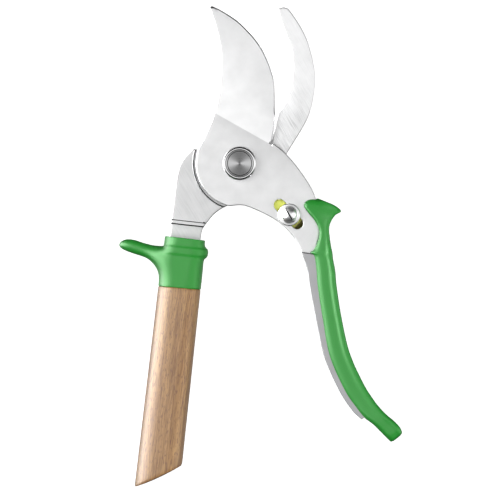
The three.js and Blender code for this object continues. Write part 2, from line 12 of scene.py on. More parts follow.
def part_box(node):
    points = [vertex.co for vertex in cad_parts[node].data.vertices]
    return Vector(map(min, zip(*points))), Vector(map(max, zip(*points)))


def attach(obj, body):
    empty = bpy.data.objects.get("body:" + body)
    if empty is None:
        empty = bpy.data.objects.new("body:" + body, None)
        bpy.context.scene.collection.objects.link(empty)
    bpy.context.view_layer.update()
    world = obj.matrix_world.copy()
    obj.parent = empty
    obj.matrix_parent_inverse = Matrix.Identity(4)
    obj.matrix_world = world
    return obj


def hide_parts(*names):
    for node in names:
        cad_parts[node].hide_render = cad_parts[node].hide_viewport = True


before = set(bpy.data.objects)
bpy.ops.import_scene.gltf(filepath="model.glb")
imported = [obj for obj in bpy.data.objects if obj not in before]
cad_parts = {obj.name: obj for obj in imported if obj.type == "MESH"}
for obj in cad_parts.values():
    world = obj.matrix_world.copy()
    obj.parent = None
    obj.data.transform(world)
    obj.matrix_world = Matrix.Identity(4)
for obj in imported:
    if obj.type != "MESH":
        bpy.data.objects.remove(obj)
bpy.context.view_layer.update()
mm = 0.001

# ---- Camera, floor and light ------------------------------------------------------------------
# The shears lie on a pale table that glows a little, and a long lens looks straight down. The
# sky darkens towards both ends of the table, so turned steel has a dark side. Soft boxes to the
# left and right only make reflections, and an overhead fill makes none.
view_middle = Vector((8.6 * mm, -36.4 * mm, 8 * mm))
view_width = 215 * mm
view_roll = math.radians(6.42)
lens_distance = 2.4

lens = bpy.data.cameras.new("long_lens")
lens.sensor_width = 36
lens.lens = 36 * lens_distance / view_width
lens.clip_start = 0.1
lens.clip_end = 20


def placed(name, data):
    """A new object in the scene with the given data."""
    new = bpy.data.objects.new(name, data)
    bpy.context.collection.objects.link(new)
    return new


camera = placed("camera", lens)
camera.location = view_middle + Vector((0, 0, lens_distance))
camera.rotation_euler = (0, 0, view_roll)
bpy.context.scene.camera = camera

bpy.context.scene.view_settings.view_transform = "Standard"


def node(tree, kind, inputs=None, **settings):
    """A new shader node of a kind, with its own settings and its inputs fed."""
    new = tree.nodes.new("ShaderNode" + kind)
    for name, value in settings.items():
        setattr(new, name, value)
    for name, value in (inputs or {}).items():
        feed(tree, new.inputs[name], value)
    return new


def feed(tree, socket, value):
    """Links an input to another node's output, or else gives it a fixed value."""
    if isinstance(value, bpy.types.NodeSocket):
        tree.links.new(value, socket)
    else:
        socket.default_value = value


def arithmetic(tree, operation, *terms):
    """The result of a math operation on sockets or numbers."""
    return node(tree, "Math", dict(enumerate(terms)), operation=operation).outputs[0]


def to_range(tree, value, low, high, first=0.0, last=1.0):
    """low where the value is first, high where it is last, and evenly between them."""
    inputs = {"Value": value, "From Min": first, "From Max": last, "To Min": low, "To Max": high}
    return node(tree, "MapRange", inputs).outputs["Result"]


def two_tones(tree, value, *stops):
    """A colour between two stops, each given as (value, colour)."""
    tones = node(tree, "ValToRGB", {"Fac": value})
    for element, (position, colour) in zip(tones.color_ramp.elements, stops):
        element.position = position
        element.color = (*colour, 1)
    return tones.outputs["Color"]


def mixed(tree, kind, factor, first, second):
    """Two colours, as sockets or values, mixed in the given way by a factor."""
    inputs = {0: factor, 6: first, 7: second}
    return node(tree, "Mix", inputs, data_type="RGBA", blend_type=kind).outputs[2]


def shader_of(name, colour, metallic, roughness):
    """A new material with one principled shader: the material, its node tree and the shader."""
    material = bpy.data.materials.new(name)
    material.use_nodes = True
    shader = material.node_tree.nodes["Principled BSDF"]
    shader.inputs["Base Color"].default_value = (*colour, 1)
    shader.inputs["Metallic"].default_value = metallic
    shader.inputs["Roughness"].default_value = roughness
    return material, material.node_tree, shader


pale, _, pale_shader = shader_of("pale_table", (0.9, 0.9, 0.9), 0.0, 0.9)
pale_shader.inputs["Emission Color"].default_value = (1, 1, 1, 1)
pale_shader.inputs["Emission Strength"].default_value = 0.72
table_half = 3.0
table_corners = [(x * table_half, y * table_half, 0) for x, y in ((-1, -1), (1, -1), (1, 1), (-1, 1))]
table_mesh = bpy.data.meshes.new("table")
table_mesh.from_pydata(table_corners, [], [(0, 1, 2, 3)])
table_mesh.materials.append(pale)
table = placed("table", table_mesh)
table.location.z = -0.2 * mm
table.visible_glossy = False
table.visible_diffuse = False
table.visible_shadow = False

world = bpy.data.worlds.new("soft_studio")
bpy.context.scene.world = world
world.use_nodes = True
sky = world.node_tree
direction = node(sky, "TexCoord").outputs["Generated"]
turned_sky = node(sky, "Mapping", {"Vector": direction, "Rotation": (0, 0, -view_roll)})
split = node(sky, "SeparateXYZ", {0: turned_sky.outputs["Vector"]})
endways = arithmetic(sky, "ABSOLUTE", split.outputs["Y"])
falloff = two_tones(sky, endways, (0.10, (1, 1, 1)), (0.46, (0.02, 0.02, 0.02)))
below = to_range(sky, split.outputs["Z"], 0.5, 1, -0.15, 0.1)
feed(sky, sky.nodes["Background"].inputs["Color"], mixed(sky, "MULTIPLY", 1, falloff, below))
sky.nodes["Background"].inputs["Strength"].default_value = 1.2


def soft_box(name, place, aim, size, power, unseen_by):
    """A rectangular soft box at place, size (along the table, upright), turned to face aim. It
    plays no part in the kinds of ray named."""
    data = bpy.data.lights.new(name, "AREA")
    data.shape = "RECTANGLE"
    data.size, data.size_y = size
    data.energy = power
    box = placed(name, data)
    box.location = place
    box.rotation_euler = (Vector(aim) - Vector(place)).to_track_quat("-Z", "Y").to_euler()
    for rays in unseen_by:
        setattr(box, "visible_" + rays, False)
    return box


side_box = soft_box("left_soft_box", (-0.80, 0.06, 0.18), (0, -0.03, 0), (0.9, 1.5), 41, ["diffuse"])
other_box = soft_box("right_soft_box", (0.90, -0.05, 0.22), (0, -0.03, 0), (0.8, 1.1), 4, ["diffuse"])
soft_box("overhead_fill", (0, 0, 1.6), (0, 0, 0), (1.6, 1.6), 15, ["glossy", "camera"])


# ---- Counter blade ----------------------------------------------------------------------------
# The hook, its hub, the raised neck and the tang are one drop forging in stainless steel, ground
# flat where the cutting blade passes. The neck's raised face has chamfered edges round the pocket
# in which the cutting blade's hub turns.
def curve(points, step=0.35 * mm):
    """Points about a step apart on a smooth curve through the given ones. Between b and c, with
    a before and d after, it is the Catmull-Rom cubic
    (2b + (c-a)t + (2a-5b+4c-d)t^2 + (3b-a-3c+d)t^3) / 2 for t from 0 to 1."""
    p = np.asarray(points, float)
    p = np.vstack([2 * p[0] - p[1], p, 2 * p[-1] - p[-2]])
    a, b, c, d = p[:-3, None], p[1:-2, None], p[2:-1, None], p[3:, None]
    t = np.linspace(0, 1, 40, endpoint=False)[None, :, None]
    square, cube = 2 * a - 5 * b + 4 * c - d, 3 * b - a - 3 * c + d
    cubic = (2 * b + (c - a) * t + square * t**2 + cube * t**3) / 2
    return even(np.vstack([cubic.reshape(-1, p.shape[1]), p[-2]]), step)


def even(points, step):
    """The same line with its points about a step apart, placed by length along it."""
    p = np.asarray(points, float)
    run = np.r_[0, np.cumsum(np.linalg.norm(np.diff(p, axis=0), axis=1))]
    places = np.linspace(0, run[-1], max(2, int(run[-1] / step) + 1))
    return np.stack([np.interp(places, run, column) for column in p.T], 1)


def arc(radius, first, last, centre=(0, 0), step=0.35 * mm):
    """Points on a circle from one angle to another, in degrees: centre + radius (cos, sin)."""
    count = max(3, int(abs(math.radians(last - first)) * radius / step))
    angle = np.radians(np.linspace(first, last, count))
    return np.stack([centre[0] + radius * np.cos(angle), centre[1] + radius * np.sin(angle)], 1)


def loop(*runs):
    """One closed outline from runs of points, without points that lie on their neighbour."""
    p = np.vstack(runs)
    apart = np.linalg.norm(p - np.roll(p, 1, axis=0), axis=1) > 0.02 * mm
    return p[apart]


def outward(p):
    """Unit normals of a closed outline, to the right of its direction: the mean of the normals
    of the two sides that meet in each point."""
    side = np.roll(p, -1, axis=0) - p
    side /= np.linalg.norm(side, axis=1)[:, None]
    normal = np.stack([side[:, 1], -side[:, 0]], 1)
    normal = normal + np.roll(normal, 1, axis=0)
    return normal / np.maximum(np.linalg.norm(normal, axis=1)[:, None], 0.3)


def within(points, outlines):
    """Whether each point is inside: a ray along +X crosses the outlines an odd number of times."""
    inside = np.zeros(len(points), bool)
    x, y = points[:, :1], points[:, 1:]
    for p in outlines:
        q = np.roll(p, -1, axis=0)
        crosses = (p[:, 1] > y) != (q[:, 1] > y)
        rise = np.where(q[:, 1] == p[:, 1], 1, q[:, 1] - p[:, 1])
        at = p[:, 0] + (y - p[:, 1]) / rise * (q[:, 0] - p[:, 0])
        inside ^= (crosses & (x < at)).sum(1) % 2 == 1
    return inside


def distance(points, line):
    """How far each point is from a line of closely spaced points."""
    return np.concatenate([
        np.linalg.norm(some[:, None] - line[None], axis=2).min(1)
        for some in np.array_split(points, max(1, len(points) // 2000))
    ])


def fill(corners, edges, outlines):
    """The constrained Delaunay net of corners and edges, as far as it lies inside the outlines."""
    net = delaunay_2d_cdt([Vector(c) / mm for c in corners], edges, [], 0, 1e-5)
    points, triangles = np.array(net[0]) * mm, np.array(net[2])
    return points, triangles[within(points[triangles].mean(1), outlines)]


def face(outlines, lines, spacing):
    """Triangles that fill the outlines, with corners on the outlines, on the lines and on a
    square grid."""
    corners, edges = [], []
    for p in outlines:
        start = len(corners)
        corners += p.tolist()
        edges += [(start + k, start + (k + 1) % len(p)) for k in range(len(p))]
    for line in lines:
        start = len(corners)
        corners += line.tolist()
        edges += [(start + k, start + k + 1) for k in range(len(line) - 1)]
    across = [np.arange(a, b, spacing) for a, b in zip(outlines[0].min(0), outlines[0].max(0))]
    grid = np.stack(np.meshgrid(*across), -1).reshape(-1, 2)
    grid = grid[within(grid, outlines)]
    grid = grid[distance(grid, np.array(corners)) > spacing / 2]
    return fill(corners + grid.tolist(), edges, outlines)


def finish_mesh(name, points, faces, sharp=25):
    """A mesh object from points and faces, with touching points merged, its faces turned
    outwards and smooth shading up to a sharp angle in degrees."""
    mesh = bpy.data.meshes.new(name)
    mesh.from_pydata(points, [], faces)
    work = bmesh.new()
    work.from_mesh(mesh)
    bmesh.ops.remove_doubles(work, verts=work.verts, dist=0.004 * mm)
    bmesh.ops.dissolve_degenerate(work, edges=work.edges, dist=0.001 * mm)
    bmesh.ops.recalc_face_normals(work, faces=work.faces)
    work.to_mesh(mesh)
    work.free()
    mesh.shade_smooth()
    mesh.set_sharp_from_angle(angle=math.radians(sharp))
    return placed(name, mesh)


def ring_quads(rows, sides):
    """Quads of a skin whose rows each close on themselves and join the next row."""
    start, this = (np.arange(rows - 1) * sides)[:, None], np.arange(sides)[None]
    following = (this + 1) % sides
    corners = [start + this, start + following, start + sides + following, start + sides + this]
    return np.stack(corners, -1).reshape(-1, 4)


hole_edge = 0.15 * mm
underside_spacing = 6 * mm


def plate(name, outline, bottom, top, holes, edge, lines, spacing):
    """A plate with a flat underside at z = bottom and a top face z = top(x, y). Its rim is a
    quarter circle, a wall and a quarter circle, carried round each outline: for an angle a
    from 0 to 90 degrees a point lies edge (1 - sin a) in and edge (1 - cos a) from the face."""
    turn = np.radians(np.linspace(0, 90, 5))
    points, faces, count, inner = [], [], 0, []
    for p in [outline, *holes]:
        radius = np.broadcast_to(edge if p is outline else hole_edge, len(p))[:, None]
        inset = p - outward(p) * radius
        rings = []
        for side, level, angles in ((1, bottom, turn), (-1, top(inset)[:, None], turn[::-1])):
            for a in angles:
                ring = p - outward(p) * radius * (1 - math.sin(a))
                rings.append(np.hstack([ring, level + side * radius * (1 - math.cos(a))]))
        points.append(np.vstack(rings))
        faces += (ring_quads(len(rings), len(p)) + count).tolist()
        count += len(rings) * len(p)
        inner.append(inset)
    for upper, cuts, gap in ((False, (), underside_spacing), (True, lines, spacing)):
        flat, triangles = face(inner, cuts, gap)
        level = top(flat) if upper else np.full(len(flat), bottom)
        points.append(np.hstack([flat, level[:, None]]))
        faces += (triangles + count).tolist()
        count += len(flat)
    return finish_mesh(name, np.vstack(points), faces)


def ramp(value, first, last):
    """0 up to first, 1 past last, and 3t^2 - 2t^3 between them."""
    t = np.clip((value - first) / (last - first), 0, 1)
    return t * t * (3 - 2 * t)


counter_low, counter_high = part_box("counter_blade")
blade_low, blade_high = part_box("cutting_blade")
shear_plane = blade_low[2] - 0.3 * mm
rim_radius = 16.8 * mm
pocket_radius = 20 * mm
chamfer = 0.3 * mm
step_place = -28.5 * mm
step_band = 1.35 * mm
scribed = 0.17 * mm
tang_foot = counter_low[1]
bolt_bore = 4.3 * mm

hook_inner = np.array([(9, 67.9), (10.6, 63.2), (14, 56.5), (16.6, 51.5), (18, 44.6),
                       (18.3, 38), (17.4, 32.2), (16.3, 27.8), (13.9, 22.5)]) * mm
hook_outer = np.array([(16.9, 0.2), (19.8, 6.9), (24.8, 17.5), (27.4, 24.5), (28.5, 33), (28.3, 39.6),
                       (27.2, 45.2), (24.9, 51.6), (22.6, 56.6), (19.4, 61.5), (15.3, 66.4),
                       (13.3, 68.5)]) * mm
neck_left = np.array([(-19.4, 4.4), (-21.4, 2.8), (-24, -0.4), (-25.8, -5), (-26.4, -12.1),
                      (-26.4, -18), (-26.4, -31), (-26.4, -37)]) * mm
neck_right = np.array([(-12.1, -28.5), (-11.2, -26.9), (-9, -23.5), (-6.8, -21.1), (-4.3, -19.3),
                       (-1.7, -17.8), (0.6, -16.85)]) * mm
tang = np.array([(-26.4, -37), (-24.65, -40), (-24.65, tang_foot / mm + 3), (-21.65, tang_foot / mm),
                 (-17.65, tang_foot / mm), (-14.65, tang_foot / mm + 3), (-14.65, -40), (-13, -37),
                 (-13, -31.5), (-12.6, -29.4), (-12.1, -28.5)]) * mm
lock_angle = -39.6
closing = 27
notch_floor = 12.5 * mm
notch_half = 2.5 * mm
notch_turn = math.degrees(math.asin(notch_half / rim_radius))


def notched_rim():
    """The hub's rim from the neck to the hook, with the lock's two notches cut in radially."""
    runs, at = [], -87
    for middle in (lock_angle - closing, lock_angle):
        c, s = math.cos(math.radians(middle)), math.sin(math.radians(middle))
        floor = [(notch_floor * c + w * s, notch_floor * s - w * c) for w in (notch_half, -notch_half)]
        runs += [arc(rim_radius, at, middle - notch_turn), np.array(floor)]
        at = middle + notch_turn
    return np.vstack(runs + [arc(rim_radius, at, -6)])


hook_root = [(13.3 * mm, 16.7 * mm), (12.9 * mm, 10.8 * mm)]
counter_outline = loop(
    even([(13.3 * mm, 68.5 * mm), (11.3 * mm, 68.9 * mm), (9.0 * mm, 67.9 * mm)], 0.3 * mm),
    curve(hook_inner), even([hook_inner[-1], *hook_root], 0.4 * mm), arc(rim_radius, 40, 162),
    curve(neck_left), even(tang, 0.8 * mm), curve(neck_right), notched_rim(), curve(hook_outer),
)
hollow_edge = curve(np.array([(18.4, 40.5), (21.9, 30), (22.9, 22), (21.6, 13), (19, 5)]) * mm)
inner_side = curve(np.vstack([hook_inner[3:], hook_root]))


def scribe(value, middle, half_width, depth):
    """Depth of a V-shaped groove: depth at its middle, none at half_width to either side."""
    return depth * np.clip(1 - np.abs(value - middle) / half_width, 0, 1)


def counter_top(p):
    """Height of the upper face: the shear plane, higher by the shoulder on the neck outside the
    pocket and above the step. A chamfer runs round the pocket, a relief groove lies at its foot
    and at the step's, a scribed groove follows the step, and the hook's root is ground hollow."""
    x, y = p[:, 0], p[:, 1]
    from_pocket = np.hypot(x, y) - pocket_radius
    from_step = y - step_place
    neck = (from_pocket > 0) & (from_step > 0) & (x < 2 * mm)
    cut = chamfer * np.clip(1 - from_pocket / chamfer, 0, 1)
    cut = np.maximum(cut, scribe(from_step, step_band, scribed, 0.34 * mm))
    cut = np.maximum(cut, 0.08 * mm * (from_step < step_band))
    raised = counter_high[2] - shear_plane - cut
    at_step = scribe(from_step, -0.26 * mm, 0.26 * mm, 0.7 * mm)
    at_pocket = scribe(from_pocket, -0.2 * mm, 0.2 * mm, 0.35 * mm)
    relief = np.where((from_step < 0) & (x < -11 * mm), at_step, 0)
    relief = relief + np.where((from_pocket < 0) & (x < 0), at_pocket, 0)
    to_inner = distance(p, inner_side)
    to_soft = distance(p, hollow_edge)
    in_root = (x > 10 * mm) & (y > 2 * mm) & (y < 42 * mm)
    share = to_soft / (to_soft + to_inner + 0.01 * mm)
    left_of = x < np.interp(y, hollow_edge[::-1, 1], hollow_edge[::-1, 0])
    hollow = np.where(in_root & left_of, 0.9 * mm * share**1.5 * (1 - ramp(y, 18 * mm, 42 * mm)), 0)
    return shear_plane + np.where(neck, raised, -hollow - relief)


inside_rim = [counter_outline - outward(counter_outline) * 0.5 * mm]
across_neck = [even([(-25.85 * mm, step_place + up), (-12.75 * mm, step_place + up)], 0.35 * mm)
               for up in (-0.52 * mm, -0.26 * mm, -0.02 * mm, 0.02 * mm, step_band - scribed, step_band,
                          step_band + scribed)]
round_pocket = [arc(pocket_radius + out, 168, 256, step=0.3 * mm)
                for out in (-0.4 * mm, -0.2 * mm, -0.02 * mm, 0.02 * mm, chamfer)]
round_pocket = [line[within(line, inside_rim)] for line in round_pocket]
counter_blade = plate(
    "counter_blade_forged", counter_outline, counter_low[2], counter_top,
    holes=[arc(bolt_bore, 360, 0)[:-1]], edge=0.35 * mm,
    lines=[*across_neck, *round_pocket, hollow_edge], spacing=0.8 * mm,
)
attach(counter_blade, "fixed_half")
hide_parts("counter_blade")


def stretched_noise(tree, size, turn=0.0, detail=3.0):
    """Noise in object coordinates, with grains of the given size in metres along X, Y and Z
    after a turn about Z in degrees."""
    place = node(tree, "TexCoord").outputs["Object"]
    inputs = {"Vector": place, "Rotation": (0, 0, math.radians(turn)), "Scale": size}
    grain = node(tree, "Mapping", inputs, vector_type="TEXTURE").outputs["Vector"]
    return node(tree, "TexNoise", {"Vector": grain, "Scale": 1, "Detail": detail}).outputs["Fac"]


def add_bump(tree, shader, height, depth):
    """Bump on the shader from a height between 0 and 1, depth metres deep."""
    bump = node(tree, "Bump", {"Height": height, "Distance": depth, "Strength": 1})
    feed(tree, shader.inputs["Normal"], bump.outputs["Normal"])


def ground_steel(name, grind_turn, colour, rough=(0.24, 0.36), other=None, scored_and_shaded=None):
    """Satin stainless steel: fine grinding marks across the given direction vary its roughness
    and its height, and a broad cloud varies its roughness and tone a little more. A second
    finish, as (normal, distance, colour factor, added roughness, half width of the change),
    holds on the side of the upright plane that its normal points away from. Coarser, darker
    grinding lines lie round the last point given, most of them within 6 mm of it, over a
    painted shade that darkens the whole surface round that point and fades to a fifth by 26 mm."""
    material, tree, shader = shader_of(name, colour, 1.0, 0.3)
    marks = stretched_noise(tree, (0.12 * mm, 6 * mm, 6 * mm), grind_turn)
    cloud = stretched_noise(tree, (7 * mm, 7 * mm, 7 * mm), 20, 3)
    wear = arithmetic(tree, "MULTIPLY_ADD", marks, 0.6, to_range(tree, cloud, 0.0, 0.4))
    roughness = to_range(tree, wear, *rough)
    tone = to_range(tree, cloud, 0.88, 1.11)
    place = node(tree, "TexCoord").outputs["Object"]
    if other:
        normal, away, factor, more, fade = other
        inputs = {0: place, 1: (*normal, 0)}
        out = node(tree, "VectorMath", inputs, operation="DOT_PRODUCT").outputs["Value"]
        side = to_range(tree, out, 0, 1, away + fade, away - fade)
        roughness = arithmetic(tree, "MULTIPLY_ADD", side, more, roughness)
        tone = arithmetic(tree, "MULTIPLY", to_range(tree, side, 1, factor), tone)
    # Real coarse grinding lines, plus painted shade: even between the lines the tone drops by 0.08 near
    # the point, and by less farther off.
    if scored_and_shaded:
        inputs = {0: place, 1: scored_and_shaded}
        far = node(tree, "VectorMath", inputs, operation="DISTANCE").outputs["Value"]
        near = to_range(tree, far, 1, 0.22, 6 * mm, 26 * mm)
        coarse = stretched_noise(tree, (0.2 * mm, 9 * mm, 9 * mm), grind_turn, 3)
        lines = to_range(tree, coarse, 0.08, 0.4, 0.45, 0.7)
        tone = arithmetic(tree, "SUBTRACT", tone, arithmetic(tree, "MULTIPLY", lines, near))
    feed(tree, shader.inputs["Base Color"], mixed(tree, "MULTIPLY", 1, (*colour, 1), tone))
    feed(tree, shader.inputs["Roughness"], roughness)
    add_bump(tree, shader, marks, 0.0025 * mm)
    return material


def face_middles(piece):
    """The middle of each face of a piece."""
    middles = np.empty(len(piece.data.polygons) * 3, np.float32)
    piece.data.polygons.foreach_get("center", middles)
    return middles.reshape(-1, 3)


def use_materials(piece, numbers):
    """Gives each face the material with its number."""
    piece.data.polygons.foreach_set("material_index", numbers.astype(np.int32))


# Round the hook's hollow root the tone is lowered: painted shade, under coarser grinding lines.
counter_blade.data.materials.append(
    ground_steel("ground_counter_steel", 36, (0.87, 0.872, 0.875), scored_and_shaded=(15 * mm, 15 * mm, 10 * mm),
                 other=((1, 0), 4 * mm, 0.765, 0.12, 5 * mm))
)
# Painted shade: the faces inside the relief grooves at the step and round the pocket, and in the
# scribed groove, get a near-black steel.
counter_blade.data.materials.append(shader_of("painted_groove_shade", (0.035, 0.035, 0.035), 1.0, 0.5)[0])
at = face_middles(counter_blade)
above_step = at[:, 1] - step_place
beyond_pocket = np.hypot(at[:, 0], at[:, 1]) - pocket_radius
in_shaded_groove = (above_step > -0.52 * mm) & (above_step < -0.03 * mm)
in_shaded_groove |= np.abs(above_step - step_band) < scribed
in_shaded_groove |= (beyond_pocket > -0.4 * mm) & (beyond_pocket < -0.05 * mm) & (at[:, 1] < 4 * mm)
in_shaded_groove &= (at[:, 0] < -2 * mm) & (at[:, 2] > shear_plane - 0.8 * mm)
use_materials(counter_blade, in_shaded_groove)

# ---- Cutting blade ----------------------------------------------------------------------------
# One plate of hardened stainless steel: a wide ground blade with a fine second bevel on its
# edge, a flat hub, and an arm with a slot for the lock. The grind stops at a straight shoulder.
blade_bottom = blade_low[2]
hub_top = blade_high[2]
full = hub_top - blade_bottom
hub_radius = 18.8 * mm

edge_line = curve(np.array([(12.8, 10.4), (12.9, 16), (12.9, 21.1), (12.3, 26.3), (11.6, 32.4),
                            (10.7, 37.2), (8.8, 41.8), (6.6, 46), (3.9, 50.1), (0.4, 54.1),
                            (-4.1, 58), (-8.4, 61.1), (-14.4, 64.1), (-19.4, 66.1)]) * mm)
back_line = curve(np.array([(-20.2, 64.6), (-18, 60), (-15.9, 54.9), (-14.2, 49.8), (-13, 44.6),
                            (-12.3, 38.6), (-12.1, 32.8), (-12.3, 28), (-12.8, 22.4), (-13.8, 17.6),
                            (-15.2, 12.8), (-16.6, 8.6), (-18, 5.4)]) * mm)
arm_back = curve(np.array([(12.8, 10.4), (18.2, 7.2), (23.4, 2.7), (28.4, -2.7), (32.6, -8.2),
                           (35.4, -14.4), (37, -21), (37.4, -26.6), (36.9, -30.4)]) * mm)
arm_front = curve(np.array([(30.4, -34.2), (28.3, -30.8), (24.9, -27.2), (20.8, -24), (16.4, -21.6),
                            (9.9, -19.2), (3.5, -17.7), (-2.3, -18.66)]) * mm)
tail = np.array([(36.9, -30.4), (37.8, -38), (39.6, -48), (41.4, -58), (40.6, -60.4), (39, -59),
                 (37, -50), (33.2, -40), (30.9, -35.4)]) * mm
slot_way = np.array((math.cos(math.radians(lock_angle)), math.sin(math.radians(lock_angle))))
slot_end = 35.7
slot_ends = [slot_way * r * mm for r in (24.8, slot_end)]
slot_half = 2.5 * mm
blade_outline = loop(
    back_line, arc(hub_radius, 163.3, 263), arm_front[::-1], even(tail[::-1], 0.5 * mm),
    arm_back[::-1], edge_line,
)
slot_hole = loop(
    arc(slot_half, lock_angle + 90, lock_angle - 90, slot_ends[1], 0.2 * mm),
    arc(slot_half, lock_angle - 90, lock_angle - 270, slot_ends[0], 0.2 * mm),
)
shoulder = np.array([(-12.9, 20.3), (12.8, 9.4)]) * mm
shoulder_run = (shoulder[1] - shoulder[0]) / np.linalg.norm(shoulder[1] - shoulder[0])
bevel_width = 0.55 * mm
edge_left = 0.10 * mm
roll_width = 5.6 * mm


def past_shoulder(p):
    """Distance beyond the straight shoulder, positive on the side of the tip."""
    q = p - shoulder[0]
    return -(q[:, 0] * shoulder_run[1] - q[:, 1] * shoulder_run[0])


def ground_thickness(p):
    """Thickness of the ground blade: from nearly full at the back it falls with the share u of
    the way to the edge, more so away from the shoulder; the edge has a second, steeper bevel."""
    to_edge = distance(p, edge_line)
    to_back = distance(p, back_line)
    u = to_back / (to_back + to_edge + 1e-6)
    out = np.maximum(past_shoulder(p), 0)
    wide = (to_back + to_edge) / (15 * mm)
    deep = (0.12 + 0.65 * ramp(out, 0, 34 * mm)) * wide / np.sqrt(1 + wide**2)
    to_tip = 1 - 0.10 * ramp(out, 22 * mm, 56 * mm)
    thick = full * (0.95 - deep * u) * to_tip
    at_edge = np.maximum(full * (0.95 - deep) * to_tip, 0.3 * mm)
    bevel = edge_left + (at_edge - edge_left) * np.clip(to_edge / bevel_width, 0, 1)
    return np.where(to_edge < bevel_width, np.minimum(bevel, thick), thick)


def blade_top(p):
    """Height of the upper face: ground past the shoulder, flat on the hub. Between them the hub
    rolls down like the flank of a grinding wheel, steepest at the shoulder line, over a width
    that grows from 4.5 to 11.8 mm along it."""
    out = past_shoulder(p)
    foot = p + np.maximum(-out, 0)[:, None] * np.array([-shoulder_run[1], shoulder_run[0]])
    ground = blade_bottom + ground_thickness(np.where((out < 0)[:, None], foot, p))
    along = ((p - shoulder[0]) @ shoulder_run) / np.linalg.norm(shoulder[1] - shoulder[0])
    width = roll_width * (0.8 + 1.3 * np.clip(along, 0, 1))
    rolled = np.clip(1 + out / width, 0, 1) ** 2.0
    return np.where(out > 0, ground, hub_top - (hub_top - ground) * rolled)


to_edge_end = distance(blade_outline, edge_line[[0, -1]])
on_edge = distance(blade_outline, edge_line) < 0.05 * mm
thin_round = 0.04 * mm + 0.31 * mm * (1 - ramp(to_edge_end, 0, 2 * mm))
blade_edge_round = np.where(on_edge, thin_round, 0.35 * mm)
inset_edge = blade_outline - outward(blade_outline) * bevel_width
bevel_line = inset_edge[on_edge & (to_edge_end > 2.5 * mm)]
shoulder_normal = np.array([-shoulder_run[1], shoulder_run[0]])
shoulder_lines = [
    even([shoulder[0] + shoulder_run * 0.6 * mm + shoulder_normal * out,
          shoulder[1] - shoulder_run * 0.7 * mm + shoulder_normal * out], 0.4 * mm)
    for out in (-0.5 * roll_width, -0.25 * roll_width, -0.03 * mm, 0.02 * mm)
]
inside_blade = [blade_outline - outward(blade_outline) * 0.5 * mm]
shoulder_lines = [line[within(line, inside_blade)] for line in shoulder_lines]
cutting_blade = plate(
    "cutting_blade_ground", blade_outline, blade_bottom, blade_top,
    holes=[arc(5.4 * mm, 360, 0)[:-1], slot_hole], edge=blade_edge_round,
    lines=[*shoulder_lines, bevel_line], spacing=0.8 * mm,
)
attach(cutting_blade, "lever_half")
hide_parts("cutting_blade")
cutting_blade.data.materials.append(
    ground_steel("ground_blade_steel", 84, (0.897, 0.899, 0.902),
                 other=(shoulder_normal, float(shoulder[0] @ shoulder_normal), 0.83, 0.08, 0.02 * mm))
)

# ---- Pivot bolt, nut and washer ---------------------------------------------------------------
# The bolt is turned from bar, with fine rings on its face, a polished rim and a centre dimple.
# Under the counter blade a plain washer and a chamfered hexagon nut hold it.
bolt_low, bolt_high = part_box("pivot_bolt")


def turned(name, profile, sides=120, centre=(0, 0), sharp=35):
    """A turned piece: the profile's points (r, z) carried round the axis through centre, as
    (centre + r cos t, centre + r sin t, z), where the profile starts and ends on the axis."""
    r, z = np.asarray(profile, float).T
    t = np.linspace(0, 2 * np.pi, sides, endpoint=False)
    x, y = centre[0] + r[:, None] * np.cos(t), centre[1] + r[:, None] * np.sin(t)
    return skin(name, np.stack([x, y, np.repeat(z[:, None], sides, 1)], -1), sharp)


def skin(name, grid, sharp=35):
    """A closed skin over grid[i, j]: each row closes on itself and joins the next row. Rows that
    shrink to a point close the ends."""
    return finish_mesh(name, grid.reshape(-1, 3), ring_quads(*grid.shape[:2]).tolist(), sharp)


head_bottom = hub_top + 0.3 * mm
head_top = bolt_high[2]
head_radius = bolt_high[0]
face_radius = head_radius - 1.05 * mm
round_rim = [(head_radius - 1.05 * mm * (1 - math.cos(a)), head_top - 0.95 * mm * (1 - math.sin(a)))
             for a in np.radians(np.linspace(0, 84, 8))]
ring_radii = np.linspace(face_radius - 0.05 * mm, 0.5 * mm, 150)
ring_dish = -1.5 * mm * (1 - ring_radii / face_radius)
# Each groove: its radius, half its width, and its depth.
ring_grooves = ((5.15 * mm, 0.15 * mm, 0.26 * mm), (5.98 * mm, 0.12 * mm, 0.22 * mm))
groove = -sum(scribe(ring_radii, *ring) for ring in ring_grooves)
ring_face = np.stack([ring_radii, head_top - 0.02 * mm + ring_dish + groove], 1)
bolt_profile = [
    (0, bolt_low[2]), (3.6 * mm, bolt_low[2]), (4.0 * mm, bolt_low[2] + 0.4 * mm),
    (4.0 * mm, head_bottom), (head_radius - 0.15 * mm, head_bottom),
    (head_radius, head_bottom + 0.15 * mm),
    *round_rim, *ring_face.tolist(), (0.25 * mm, head_top - 1.7 * mm), (0, head_top - 1.9 * mm),
]
pivot_bolt = turned("pivot_bolt_turned", bolt_profile)
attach(pivot_bolt, "fixed_half")
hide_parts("pivot_bolt")


